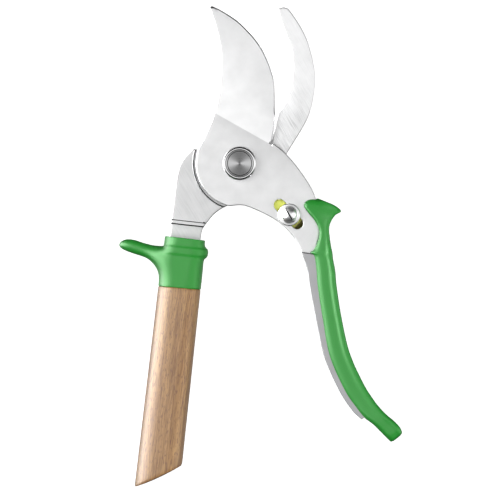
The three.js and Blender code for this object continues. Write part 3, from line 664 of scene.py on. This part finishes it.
def turned_steel(name, colour, rough):
    """Steel off the lathe: rings about the pivot axis, by their distance from it, and
    reflections drawn out across the rings, along the radius (x, y)."""
    material, tree, shader = shader_of(name, colour, 1.0, rough)
    split_place = node(tree, "SeparateXYZ", {0: node(tree, "TexCoord").outputs["Object"]}).outputs
    flat = node(tree, "CombineXYZ", {"X": split_place["X"], "Y": split_place["Y"]}).outputs["Vector"]
    radius = node(tree, "VectorMath", {0: flat}, operation="LENGTH").outputs["Value"]
    inputs = {"W": radius, "Scale": 1 / (0.16 * mm), "Detail": 2}
    rings = node(tree, "TexNoise", inputs, noise_dimensions="1D").outputs["Fac"]
    feed(tree, shader.inputs["Roughness"], to_range(tree, rings, rough - 0.08, rough + 0.12))
    feed(tree, shader.inputs["Tangent"], flat)
    shader.inputs["Anisotropic"].default_value = 0.9
    add_bump(tree, shader, rings, 0.004 * mm)
    return material


pivot_bolt.data.materials.append(turned_steel("turned_bolt_steel", (0.52, 0.52, 0.525), 0.30))

rim_steel, rim_tree, rim_shader = shader_of("polished_rim_steel", (0.86, 0.86, 0.865), 1.0, 0.14)
rim_marks = stretched_noise(rim_tree, (0.5 * mm, 0.5 * mm, 0.08 * mm), 0, 2)
feed(rim_tree, rim_shader.inputs["Roughness"], to_range(rim_tree, rim_marks, 0.08, 0.22))
pivot_bolt.data.materials.append(rim_steel)
middles = face_middles(pivot_bolt)
out_from_axis = np.hypot(middles[:, 0], middles[:, 1])
in_shaded_ring = np.any([np.abs(out_from_axis - radius) < wide for radius, wide, deep in ring_grooves], 0)
in_shaded_ring &= middles[:, 2] > head_top - 1.2 * mm
# Painted shade: the faces in the two grooves on the bolt's face get a dark steel.
pivot_bolt.data.materials.append(shader_of("ring_groove_painted_shade", (0.16, 0.16, 0.16), 1.0, 0.4)[0])
use_materials(pivot_bolt, np.where(out_from_axis > face_radius, 1, np.where(in_shaded_ring, 2, 0)))

# The left box leaves out the bolt, and the right one the bolt and both blades.
for box, pieces in ((side_box, [pivot_bolt]), (other_box, [pivot_bolt, cutting_blade, counter_blade])):
    shaded = bpy.data.collections.new("shaded_from_" + box.name)
    for piece in pieces:
        shaded.objects.link(piece)
    for member in shaded.collection_objects:
        member.light_linking.link_state = "EXCLUDE"
    box.light_linking.receiver_collection = shaded

nut_low, nut_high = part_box("pivot_nut")
nut_half = (nut_high[1] - nut_low[1]) / 2


def hexagon_nut():
    """A hexagon nut with a bore. Its outer radius at angle t is half / cos(angle to the middle of
    the nearest flat), but no more than the chamfer cone allows near its two faces."""
    t = np.linspace(0, 2 * np.pi, 120, endpoint=False)
    hexagon = nut_half / np.cos(np.abs(t % (np.pi / 3) - np.pi / 6))
    z = np.array([0, 0, 0.12, 0.3, 0.7, 0.88, 1, 1]) * (nut_high[2] - nut_low[2]) + nut_low[2]
    cone = nut_half * np.array([0.68, 0.93, 1.0, 1.16, 1.16, 1.0, 0.93, 0.68])
    outer = np.minimum(hexagon[None], cone[:, None])
    radii = [*outer, bolt_bore, bolt_bore, outer[0]]
    rows = [np.stack([r * np.cos(t), r * np.sin(t), np.full_like(t, h)], -1)
            for r, h in zip(radii, [*z, z[-1], z[0], z[0]])]
    return skin("pivot_nut_hexagon", np.array(rows))


pivot_nut = hexagon_nut()
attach(pivot_nut, "fixed_half")
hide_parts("pivot_nut")
plain_steel = ground_steel("plain_steel_finish", 0, (0.55, 0.55, 0.56), (0.3, 0.42))
pivot_nut.data.materials.append(plain_steel)
for small_part in ("pivot_bush", "pivot_washer", "return_spring", "opening_stop_pin", "tang_pin_1",
                   "tang_pin_2", "channel_rivet_1", "channel_rivet_2", "rivet_spacer_lower_1",
                   "rivet_spacer_lower_2", "rivet_spacer_upper_1", "rivet_spacer_upper_2",
                   "lock_washer", "lock_clip"):
    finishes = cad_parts[small_part].data.materials
    finishes.clear()
    finishes.append(plain_steel)

# ---- Lock button and slider -------------------------------------------------------------------
# A polished steel button rides in the arm's slot. Its shank holds a yellow moulded slider under
# the arm, whose nose drops into the counter blade's notches; the slider shows in the slot.
button_low, button_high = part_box("lock_button")
button_centre = ((button_low[0] + button_high[0]) / 2, (button_low[1] + button_high[1]) / 2)
flange_radius = (button_high[0] - button_low[0]) / 2
dome_radius = 3.45 * mm
flange_bottom = hub_top + 0.3 * mm
flange_top = flange_bottom + 1.1 * mm
dome_height = button_high[2] - flange_top
button_profile = [
    (0, button_low[2]), (1.9 * mm, button_low[2]), (2.2 * mm, button_low[2] + 0.3 * mm),
    (2.2 * mm, flange_bottom), (flange_radius - 0.2 * mm, flange_bottom),
    *[(flange_radius - 0.55 * mm * (1 - math.cos(a)), flange_bottom + 0.55 * mm * (1 + math.sin(a)))
      for a in np.radians(np.linspace(-70, 88, 9))],
    (dome_radius + 0.15 * mm, flange_top), (dome_radius, flange_top + 0.12 * mm),
    *[(dome_radius * math.cos(a), flange_top + 0.12 * mm + (dome_height - 0.12 * mm) * math.sin(a))
      for a in np.radians(np.linspace(4, 89.5, 26))],
    (0, button_high[2]),
]
lock_button = turned("lock_button_polished", button_profile, 96, button_centre, 45)
driver_slot = (7.4 * mm, 0.5 * mm, 1.7 * mm)
driver_turn = math.radians(52.2)
cutter_mesh = bpy.data.meshes.new("driver_slot")
cutter_work = bmesh.new()
bmesh.ops.create_cube(cutter_work, size=1)
cutter_work.transform(
    Matrix.Translation((*button_centre, button_high[2]))
    @ Matrix.Rotation(-driver_turn, 4, "Z") @ Matrix.Diagonal((*driver_slot, 1))
    @ Matrix.Rotation(math.radians(45), 4, "X")
)
cutter_work.to_mesh(cutter_mesh)
cutter_work.free()
cutter = placed("driver_slot", cutter_mesh)
cut = lock_button.modifiers.new("driver_slot", "BOOLEAN")
cut.operation = "DIFFERENCE"
cut.solver = "EXACT"
cut.object = cutter


def apply_modifiers(piece, sharp):
    """Replaces a piece's mesh by the one that its modifiers give, with a new sharp angle."""
    evaluated = piece.evaluated_get(bpy.context.evaluated_depsgraph_get())
    result = bpy.data.meshes.new_from_object(evaluated)
    piece.modifiers.clear()
    piece.data = result
    result.shade_smooth()
    result.set_sharp_from_angle(angle=math.radians(sharp))


apply_modifiers(lock_button, 40)
bpy.data.objects.remove(cutter)
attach(lock_button, "lock")
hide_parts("lock_button")
polished, polished_tree, polished_shader = shader_of(
    "polished_button_steel", (0.96, 0.96, 0.965), 1.0, 0.35)
scuffs = stretched_noise(polished_tree, (0.5 * mm, 0.5 * mm, 0.5 * mm), 0, 4)
feed(polished_tree, polished_shader.inputs["Roughness"], to_range(polished_tree, scuffs, 0.32, 0.42))
add_bump(polished_tree, polished_shader, scuffs, 0.0015 * mm)
lock_button.data.materials.append(polished)
# Painted shade: the faces of the driver slot below the dome get a near-black steel.
lock_button.data.materials.append(shader_of("driver_slot_painted_shade", (0.10, 0.10, 0.10), 1.0, 0.5)[0])
middles = face_middles(lock_button) - np.array([*button_centre, 0])
slot_across = middles[:, 0] * math.sin(driver_turn) + middles[:, 1] * math.cos(driver_turn)
dome_share = np.clip(1 - (middles[:, 0] ** 2 + middles[:, 1] ** 2) / dome_radius**2, 0, 1)
dome_z = flange_top + 0.12 * mm + (dome_height - 0.12 * mm) * np.sqrt(dome_share)
sunk = (middles[:, 2] > flange_top) & (middles[:, 2] < dome_z - 0.04 * mm)
use_materials(lock_button, (np.abs(slot_across) < 0.36 * mm) & sunk)

slider_low, slider_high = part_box("lock_slider")
nose_tip, body_start = 18.0 * mm, 22.1 * mm
body_end = (slot_end + 2.5 + 0.7) * mm
nose_half, body_half = 2 * mm, 4.5 * mm
corner = 1.2 * mm
radial = np.array([slot_way, (-slot_way[1], slot_way[0])])


def slider_outline():
    """Nose and body in the slider's own directions, along and across, turned to the slot's."""
    own = np.vstack([
        [(nose_tip, -nose_half), (body_start, -nose_half), (body_start, -body_half + corner)],
        arc(corner, 180, 270, (body_start + corner, -body_half + corner)),
        arc(corner, 270, 360, (body_end - corner, -body_half + corner)),
        arc(corner, 0, 90, (body_end - corner, body_half - corner)),
        arc(corner, 90, 180, (body_start + corner, body_half - corner)),
        [(body_start, nose_half), (nose_tip, nose_half)],
    ])
    return loop(even(np.vstack([own, own[:1]]), 0.3 * mm)) @ radial


slider_slope = 36.4 * mm
slope_line = np.array([(slider_slope, w) for w in np.linspace(-4.2, 4.2, 12) * mm]) @ radial


def slider_face(p):
    """Height of the upper face: flat, but sloping down at its outer end."""
    return slider_high[2] - np.clip((p @ radial[0] - slider_slope) * 1.3, 0, 2.6 * mm)


lock_slider = plate(
    "lock_slider_moulded", slider_outline(), slider_low[2], slider_face,
    holes=[arc(2.45 * mm, 360, 0, button_centre, 0.2 * mm)[:-1]], edge=0.25 * mm,
    lines=[slope_line], spacing=2 * mm,
)
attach(lock_slider, "lock")
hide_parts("lock_slider")


def moulded_plastic(name, colour, rough):
    """Moulded plastic: a fine orange peel in its height, and a little drift in its shine."""
    material, tree, shader = shader_of(name, colour, 0.0, rough)
    drift = stretched_noise(tree, (6 * mm,) * 3, 0, 2)
    feed(tree, shader.inputs["Roughness"], to_range(tree, drift, rough - 0.07, rough + 0.07))
    add_bump(tree, shader, stretched_noise(tree, (0.35 * mm,) * 3, 0, 3), 0.006 * mm)
    return material


yellow = moulded_plastic("yellow_moulding", (0.98, 1.0, 0.16), 0.4)
yellow_tree = yellow.node_tree
# Painted shade: from about 35 to 36.4 mm along the slot the slider's colour falls from yellow to a
# near-black brown, for the shade at the slot's far end.
inputs = {0: node(yellow_tree, "TexCoord").outputs["Object"], 1: (*radial[0], 0)}
yellow_along = node(yellow_tree, "VectorMath", inputs, operation="DOT_PRODUCT").outputs["Value"]
yellow_with_painted_shade = two_tones(yellow_tree, to_range(yellow_tree, yellow_along, 0, 1, 34 * mm, 39 * mm),
                         (0.18, (0.92, 0.98, 0.16)), (0.48, (0.10, 0.075, 0.012)))
feed(yellow_tree, yellow_tree.nodes["Principled BSDF"].inputs["Base Color"], yellow_with_painted_shade)
lock_slider.data.materials.append(yellow)

# ---- Lever channel ----------------------------------------------------------------------------
# A U folded from stainless sheet, open towards the wooden handle. Its flanges hold the arm's
# tail with two rivets, and stand out of the cover along the inner side of the lever.
channel_low, channel_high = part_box("lever_channel")
sheet = 1.5 * mm
bend = 2.2 * mm
web_back = 2.3 * mm
gap_depth = 1.3 * mm
# Each row: the channel's free edge, the cover's free edge, and the cover's back.
lever_rows = np.array([
    [(30.7, -34.7), (36.1, -35), (44.3, -35.4)],
    [(33.8, -41.7), (37.6, -41.9), (46, -41.4)],
    [(35.7, -49), (39, -49), (47.3, -47.7)],
    [(40.1, -63.2), (42.7, -62.6), (50.9, -60.9)],
    [(45.4, -78.4), (47.4, -77.8), (56, -75.3)],
    [(53.6, -92.4), (55.4, -91.6), (63.2, -87.6)],
    [(60, -100), (61.6, -98.8), (68.6, -94.4)],
    [(64.2, -103.2), (65.4, -102.4), (72.2, -98)],
    [(68.6, -105), (69.4, -104.8), (75.4, -100.6)],
]) * mm


def channel():
    """The U profile carried down the lever. A row's profile runs out along the upper flange,
    round the bend, down the web and back, and then the same way at sheet thickness inside; it
    lies in the upright plane from the free edge towards the cover's back. The two rows at
    each end are joined across the sheet, and a V-shaped gap runs across the flange near its end."""
    rows = curve(lever_rows[:-1].reshape(-1, 6), 1.0 * mm)
    gap_rows = [rows[0] + share * (rows[1] - rows[0]) for share in (0.12, 0.42, 0.72)]
    rows = np.vstack([rows[0], *gap_rows, rows[1:]])
    free, back = rows[:, 0:2], rows[:, 4:6]
    width = np.linalg.norm(back - free, axis=1)
    across = (back - free) / width[:, None]
    z0, z1 = channel_low[2], channel_high[2]
    a = np.radians(np.linspace(90, 0, 7))
    inner = bend - sheet
    outer_u, outer_up = -bend + bend * np.cos(a), -bend + bend * np.sin(a)
    inner_u, inner_up = -bend + inner * np.cos(a), -bend + inner * np.sin(a)
    edge = 0.2 * mm
    web = (width - web_back)[:, None]
    none = np.zeros_like(web)
    u = np.hstack([none, none + edge, web + outer_u, web + outer_u[::-1], none + edge, none,
                   none, none + edge, web + inner_u, web + inner_u[::-1], none + edge, none])
    height = np.r_[z1 - edge, z1, z1 + outer_up, z0 - outer_up[::-1], z0, z0 + edge,
                   z0 + sheet - edge, z0 + sheet, z0 - inner_up, z1 + inner_up[::-1],
                   z1 - sheet, z1 - sheet + edge]
    height = np.repeat(height[None], len(rows), 0)
    half_count = height.shape[1] // 2
    height[2, 1:half_count // 2 - 1] -= gap_depth
    grid = np.concatenate([free[:, None] + across[:, None] * u[..., None], height[..., None]], -1)
    ends = [np.concatenate([row[:half_count], row[:half_count][::-1]]) for row in (grid[0], grid[-1])]
    return np.concatenate([ends[0][None], grid, ends[1][None]])


lever_channel = skin("lever_channel_folded", channel(), 30)
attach(lever_channel, "lever_half")
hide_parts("lever_channel")
lever_channel.data.materials.append(
    ground_steel("folded_sheet_steel", 14, (0.43, 0.43, 0.44), (0.3, 0.45))
)

# ---- Lever cover ------------------------------------------------------------------------------
# One green moulding over the channel, ending in a flared thumb rest round the end of the arm.
# It is open on the side of the channel, with a thin lip, a flat along its middle and a soft
# ridge towards its back, and it is solid below the channel's end.
cover_low, cover_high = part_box("grip_cover")
cover_middle = (cover_low[2] + cover_high[2]) / 2
cover_half = (cover_high[2] - cover_low[2]) / 2
# Each row: left edge, right edge, half height, depth of the hollow, its floor and its roof.
head_rows = np.array([
    (35, -11.3, 35.9, -11.3, 3, 0.2, 9.9, 14.2),
    (31.6, -12, 39.2, -12.2, 5.6, 3.4, 9.9, 14.2),
    (29.7, -13.5, 43, -13.5, 6.8, 5.6, 9.9, 14.2),
    (29.6, -15.4, 45.6, -15.5, 7.4, 6.2, 9.9, 14.2),
    (32, -18.1, 43.4, -17.4, 7.9, 4.6, 9.9, 14.2),
    (34.8, -20.9, 41.9, -20.1, 8.2, 2.4, 9.9, 14.2),
    (36.9, -24.4, 41.3, -23.2, 8.5, 0.7, 9.9, 14.2),
    (37.3, -27.6, 41.9, -26.8, 8.7, 0.7, 9, 14.4),
    (36.6, -31, 43, -31, 9, 2.6, 5, 15.8),
    (35.6, -33.4, 43.8, -33.4, 9.3, 4, 3, 16.2),
    (34.4, -34.6, 44.1, -34.6, 9.3, 4.6, 2.2, 16.4),
])
body_hollow = np.array([4.8, 5.2, 4.6, 4.6, 4.9, 4.6, 3.6, 2.4, 0.4])
body_rows = np.column_stack([
    lever_rows[:, 1] / mm, lever_rows[:, 2] / mm, np.full(9, cover_half / mm), body_hollow,
    np.full(9, channel_low[2] / mm - 0.1), np.full(9, channel_high[2] / mm + 0.1),
])
body_rows[0, :4] = (36.1, -36.0, 44.5, -36.4)
end_rows = np.array([
    (72.7, -107.4, 78.2, -102.4, 8.9, 0.05, 9.2, 9.4),
    (75.8, -109.9, 80.9, -104.6, 8.6, 0.05, 9.2, 9.4),
    (77.3, -111.1, 82, -106.3, 7.9, 0.05, 9.2, 9.4),
])
# Across the lever, each pair: share of the width, and how far it lies below the crest.
relief_share, relief_drop = np.array([
    (0, 2.3), (0.04, 2), (0.1, 1.6), (0.18, 1.22), (0.26, 1), (0.34, 0.92), (0.44, 0.9), (0.54, 0.92),
    (0.62, 0.9), (0.69, 0.74), (0.76, 0.42), (0.83, 0.14), (0.9, 0), (0.95, 0.03), (1, 0.12),
]).T


def cover_grid():
    """A C-shaped profile carried from the thumb rest to the lower end. From the left edge the
    upper side rises over a quarter circle, follows the relief across, and falls over another
    quarter circle to the back; the lower side is the same upside down, and the hollow is a box
    let in from the left edge."""
    rows = curve(np.vstack([head_rows, body_rows, end_rows]) * mm, 0.7 * mm)
    left, right = rows[:, 0:2], rows[:, 2:4]
    half_height, depth, floor, roof = rows[:, 4:].T
    width = np.linalg.norm(right - left, axis=1)
    across = (right - left) / width[:, None]
    body = 1 - ramp(left[:, 1], -36 * mm, -22 * mm)
    low_end = ramp(-left[:, 1], 95 * mm, 108 * mm)
    most = width * 0.46
    round_left = np.minimum(1.7 * mm + (0.8 - 1.7) * mm * body + 1.3 * mm * low_end, most)[:, None]
    round_right = np.minimum(1.7 * mm + 0.5 * mm * body, most)[:, None]
    a = np.radians(np.linspace(0, 90, 8))
    share = np.linspace(0, 1, 34)[1:-1]
    flat = width[:, None] - round_left - round_right
    u = np.hstack([round_left * (1 - np.cos(a)), round_left + flat * share,
                   width[:, None] - round_right * (1 - np.sin(a))])
    whole = np.clip(u / width[:, None], 0, 1)
    drop = np.interp(whole, relief_share, relief_drop) * mm * (body * (1 - 0.6 * low_end))[:, None]
    dish = 0.35 * mm * np.sin(np.pi * whole) ** 2 * (1 - body)[:, None]
    fall = np.hstack([round_left * (1 - np.sin(a)), 0 * flat * share, round_right * (1 - np.cos(a))])
    height = half_height[:, None] - drop - dish - fall
    hollow = np.clip(depth, 0.02 * mm, width - 1.2 * mm)[:, None]
    none = np.zeros_like(hollow)
    lip_in = none + 0.25 * mm
    mouth_top = np.minimum(roof, cover_middle + height[:, 0] - 0.3 * mm)[:, None]
    mouth_low = np.maximum(floor, cover_middle - height[:, 0] + 0.3 * mm)[:, None]
    us = np.hstack([u, u[:, ::-1], none, lip_in, hollow, hollow, lip_in, none])
    zs = np.hstack([cover_middle + height, cover_middle - height[:, ::-1], mouth_low - 0.2 * mm,
                    mouth_low, mouth_low, mouth_top, mouth_top, mouth_top + 0.2 * mm])
    return np.concatenate([left[:, None] + across[:, None] * us[..., None], zs[..., None]], -1)


def round_ends(grid, first_reach, last_reach, steps=7):
    """Rows added at both ends that shrink onto the end row's middle while they move on along the
    row of middles by reach sin a, for a from 0 to 90 degrees, with the row scaled by cos^0.7 a."""
    added = []
    for row, inner_row, reach in ((grid[0], grid[1], first_reach), (grid[-1], grid[-2], last_reach)):
        middle = (row.min(0) + row.max(0)) / 2
        onward = middle - (inner_row.min(0) + inner_row.max(0)) / 2
        onward[2] = 0
        onward /= np.linalg.norm(onward)
        a = np.radians(np.linspace(0, 90, steps + 1)[1:])[:, None, None]
        scale = np.maximum(np.cos(a), 1e-5) ** 0.7
        added.append(middle + (row - middle)[None] * scale + onward * reach * np.sin(a))
    return np.concatenate([added[0][::-1], grid, added[1]])


grip_cover = skin("grip_cover_moulded", round_ends(cover_grid(), 0.3 * mm, 1.3 * mm), 50)
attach(grip_cover, "lever_half")
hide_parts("grip_cover")
green = moulded_plastic("green_moulding", (0.020, 0.325, 0.030), 0.46)
grip_cover.data.materials.append(green)

# ---- Collar and finger guard ------------------------------------------------------------------
# A green moulded collar over the joint between tang and handle. A bead runs round it, and a
# finger guard sweeps out of the bead on the side away from the lever.
collar_low, collar_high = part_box("guard_collar")
handle_low, handle_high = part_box("wood_handle")
handle_axis = (handle_low[0] + handle_high[0]) / 2
handle_middle = (handle_low[2] + handle_high[2]) / 2
collar_top = collar_high[1]
left_side = np.vstack([
    even(np.array([(-28.4, -34.5), (-28.4, -38.4)]) * mm, 0.3 * mm),
    curve(np.array([(-28.7, -38.9), (-32.9, -39), (-37.2, -38.4), (-40, -37.8), (-42.8, -37.5),
                    (-45.2, -37.9), (-46.8, -38.9), (-47.55, -40.3), (-46.9, -41.5), (-45, -42.5),
                    (-40.7, -43.6), (-37.1, -44.3), (-34.5, -45.2), (-32.1, -46.9), (-30.2, -49.2),
                    (-29.1, -52.1), (-28.8, -56.2)]) * mm, 0.3 * mm),
])
right_side = curve(np.array([(-10.5, -55.7), (-10.5, -50), (-10.6, -44.2), (-10.4, -42.6),
                             (-9.4, -41.6), (-9.05, -40), (-9.35, -38.4), (-10.5, -37.3),
                             (-10.9, -36.2), (-10.9, -34.5)]) * mm, 0.3 * mm)
collar_half_width = 9.1 * mm
collar_half_thick = 9.3 * mm


def guard_form():
    """Collar and guard as one form. Over its outline u solves the Laplace equation with source
    -1, u = 0 on both sides, so sqrt(2u) is the half width in a straight stretch; with
    s = sqrt(2u) / R the half thickness is T (1 - (1 - s^2)^1.4)^(1/2.8), a little more along
    the bead. The triangles' cotangents make the equation's matrix. Upper and lower side are
    joined by a wall round the outline."""
    low_end = even([left_side[-1], right_side[0]], 0.4 * mm)[1:-1]
    high_end = even([right_side[-1], left_side[0]], 0.4 * mm)[1:-1]
    outline = loop(left_side, low_end, right_side, high_end)
    sides = np.vstack([left_side, right_side])
    rings = []
    for inset in (0.06, 0.25, 0.6):
        ring = outline - outward(outline) * inset * mm
        rings.append(ring[distance(ring, outline) > 0.8 * inset * mm])
    inner = face([outline], [], 0.5 * mm)[0][len(outline):]
    edges = [(k, (k + 1) % len(outline)) for k in range(len(outline))]
    points, triangles = fill(np.vstack([outline, *rings, inner]), edges, [outline])
    count = len(points)
    matrix, source = np.zeros((count, count)), np.zeros(count)
    for k in range(3):
        i, j, o = triangles[:, k], triangles[:, k - 1], triangles[:, k - 2]
        a, b = points[i] - points[o], points[j] - points[o]
        twice = np.abs(a[:, 0] * b[:, 1] - a[:, 1] * b[:, 0]) + 1e-14
        weight = (a * b).sum(1) / twice / 2
        for row, column, sign in ((i, j, -1), (j, i, -1), (i, i, 1), (j, j, 1)):
            np.add.at(matrix, (row, column), sign * weight)
        np.add.at(source, o, twice / 6)
    loose = np.setdiff1d(np.arange(count), triangles)
    fixed = np.union1d(np.nonzero(distance(points, sides) < 0.01 * mm)[0], loose)
    matrix[fixed] = 0
    matrix[fixed, fixed] = 1
    source[fixed] = 0
    s = np.sqrt(2 * np.clip(np.linalg.solve(matrix, source), 0, None)) / collar_half_width
    x, down = points[:, 0], collar_top - points[:, 1]
    bead = ramp(down, 3.3 * mm, 4.4 * mm) * (1 - ramp(down, 6.6 * mm, 7.9 * mm))
    bead = bead * (1 - ramp(-x, 24 * mm, 33 * mm))
    height = collar_half_thick * (1 - np.clip(1 - s * s, 0, 1) ** 1.4) ** (1 / 2.8)
    height = height + 0.5 * mm * bead * np.clip(3 * s, 0, 1)
    upper = np.column_stack([points, handle_middle + height])
    lower = np.column_stack([points, handle_middle - height])
    rim = np.array([int(np.argmin(np.linalg.norm(points - c, axis=1))) for c in outline])
    wall = np.stack([rim, np.roll(rim, -1), np.roll(rim, -1) + count, rim + count], 1)
    faces = triangles.tolist() + (triangles[:, ::-1] + count).tolist() + wall.tolist()
    return finish_mesh("guard_collar_moulded", np.vstack([upper, lower]), faces)


guard_collar = guard_form()
melt = guard_collar.modifiers.new("one_moulding", "REMESH")
melt.mode = "VOXEL"
melt.voxel_size = 0.3 * mm
apply_modifiers(guard_collar, 60)
soften = guard_collar.modifiers.new("soft_corners", "SMOOTH")
soften.factor = 0.5
soften.iterations = 5
apply_modifiers(guard_collar, 60)
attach(guard_collar, "fixed_half")
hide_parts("guard_collar")
guard_collar.data.materials.append(green)

# ---- Wooden handle ----------------------------------------------------------------------------
# Turned and sanded beech, a little wider towards its end, which is sawn at a slant and slightly
# domed. Fine dark flecks run along the grain.
slant = math.tan(math.radians(31.2))
joint_y = collar_low[1] + 0.28 * mm
joint_tilt = 0.027
far_corner = handle_low[1]
dome = 0.8 * mm
handle_sides = 160
# Each in mm: at the joint, and what is added towards the end.
handle_half_width = (9.12, 0.5)
handle_half_thick = (9.55, 0.42)
handle_edge = 0.35 * mm
squareness = 2.8


def handle_grid():
    """Sections across the handle from the joint to its end, each a superellipse with exponent
    n = 2.8: |u / half width|^n + |v / half thickness|^n = 1. They lean more and more towards
    the slanted end plane y = end + slant (x - axis). Rows that shrink by c make the end, domed
    by dome (1 - c^2)."""
    t = np.linspace(0, 2 * np.pi, handle_sides, endpoint=False)
    along = np.concatenate([[0, 0.003], np.linspace(0.006, 0.985, 60), [0.994, 1]])
    rows = []
    end_middle = far_corner + slant * (handle_axis - handle_low[0]) + handle_edge
    for share in along:
        inset = handle_edge if share in (0, 1) else (0.12 * mm if share in (0.003, 0.994) else 0)
        half_width = (handle_half_width[0] + handle_half_width[1] * share) * mm - inset
        half_thick = (handle_half_thick[0] + handle_half_thick[1] * ramp(share, 0, 0.5)) * mm - inset
        u = half_width * np.sign(np.cos(t)) * np.abs(np.cos(t)) ** (2 / squareness)
        v = half_thick * np.sign(np.sin(t)) * np.abs(np.sin(t)) ** (2 / squareness)
        y = (joint_y + joint_tilt * u) * (1 - share) + share * (end_middle + slant * u)
        rows.append(np.stack([handle_axis + u, y, handle_middle + v], -1))
    cap = []
    for c in np.cos(np.radians(np.linspace(8, 90, 14))):
        row = rows[-1]
        middle = row.mean(0)
        shrunk = middle + (row - middle) * max(c, 1e-5)
        shrunk[:, 1] -= dome * (1 - c * c)
        cap.append(shrunk)
    start = np.repeat(rows[0].mean(0)[None], handle_sides, 0)
    return np.array([start, *rows, *cap])


wood_handle = skin("handle_beech", handle_grid(), 32)
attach(wood_handle, "fixed_half")
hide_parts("wood_handle")


def beech():
    """Beech, with the grain along Y: broad bands of tone, fine streaks, and short dark flecks
    where stretched noise is above a threshold; the flecks are slightly sunk."""
    material, tree, shader = shader_of("sanded_beech", (0.6, 0.4, 0.24), 0.0, 0.55)
    bands = stretched_noise(tree, (2.6 * mm, 60 * mm, 4 * mm), 0, 2)
    tone = two_tones(tree, bands, (0.32, (0.33, 0.165, 0.055)), (0.68, (0.50, 0.285, 0.106)))
    streaks = stretched_noise(tree, (0.5 * mm, 8 * mm, 0.5 * mm), 0, 3)
    streak_tone = two_tones(tree, streaks, (0.35, (0.56, 0.45, 0.36)), (0.56, (1.1, 1.09, 1.07)))
    streaked = mixed(tree, "MULTIPLY", 0.75, tone, streak_tone)
    flecks = stretched_noise(tree, (0.4 * mm, 2.2 * mm, 0.4 * mm), 0, 1)
    fleck_mask = two_tones(tree, flecks, (0.58, (0, 0, 0)), (0.66, (1, 1, 1)))
    flecked = mixed(tree, "MIX", to_range(tree, fleck_mask, 0, 0.75), streaked, (0.2, 0.09, 0.045, 1))
    feed(tree, shader.inputs["Base Color"], flecked)
    feed(tree, shader.inputs["Roughness"], to_range(tree, streaks, 0.38, 0.54))
    shader.inputs["Specular IOR Level"].default_value = 0.78
    add_bump(tree, shader, arithmetic(tree, "SUBTRACT", streaks, fleck_mask), 0.02 * mm)
    return material


wood_handle.data.materials.append(beech())
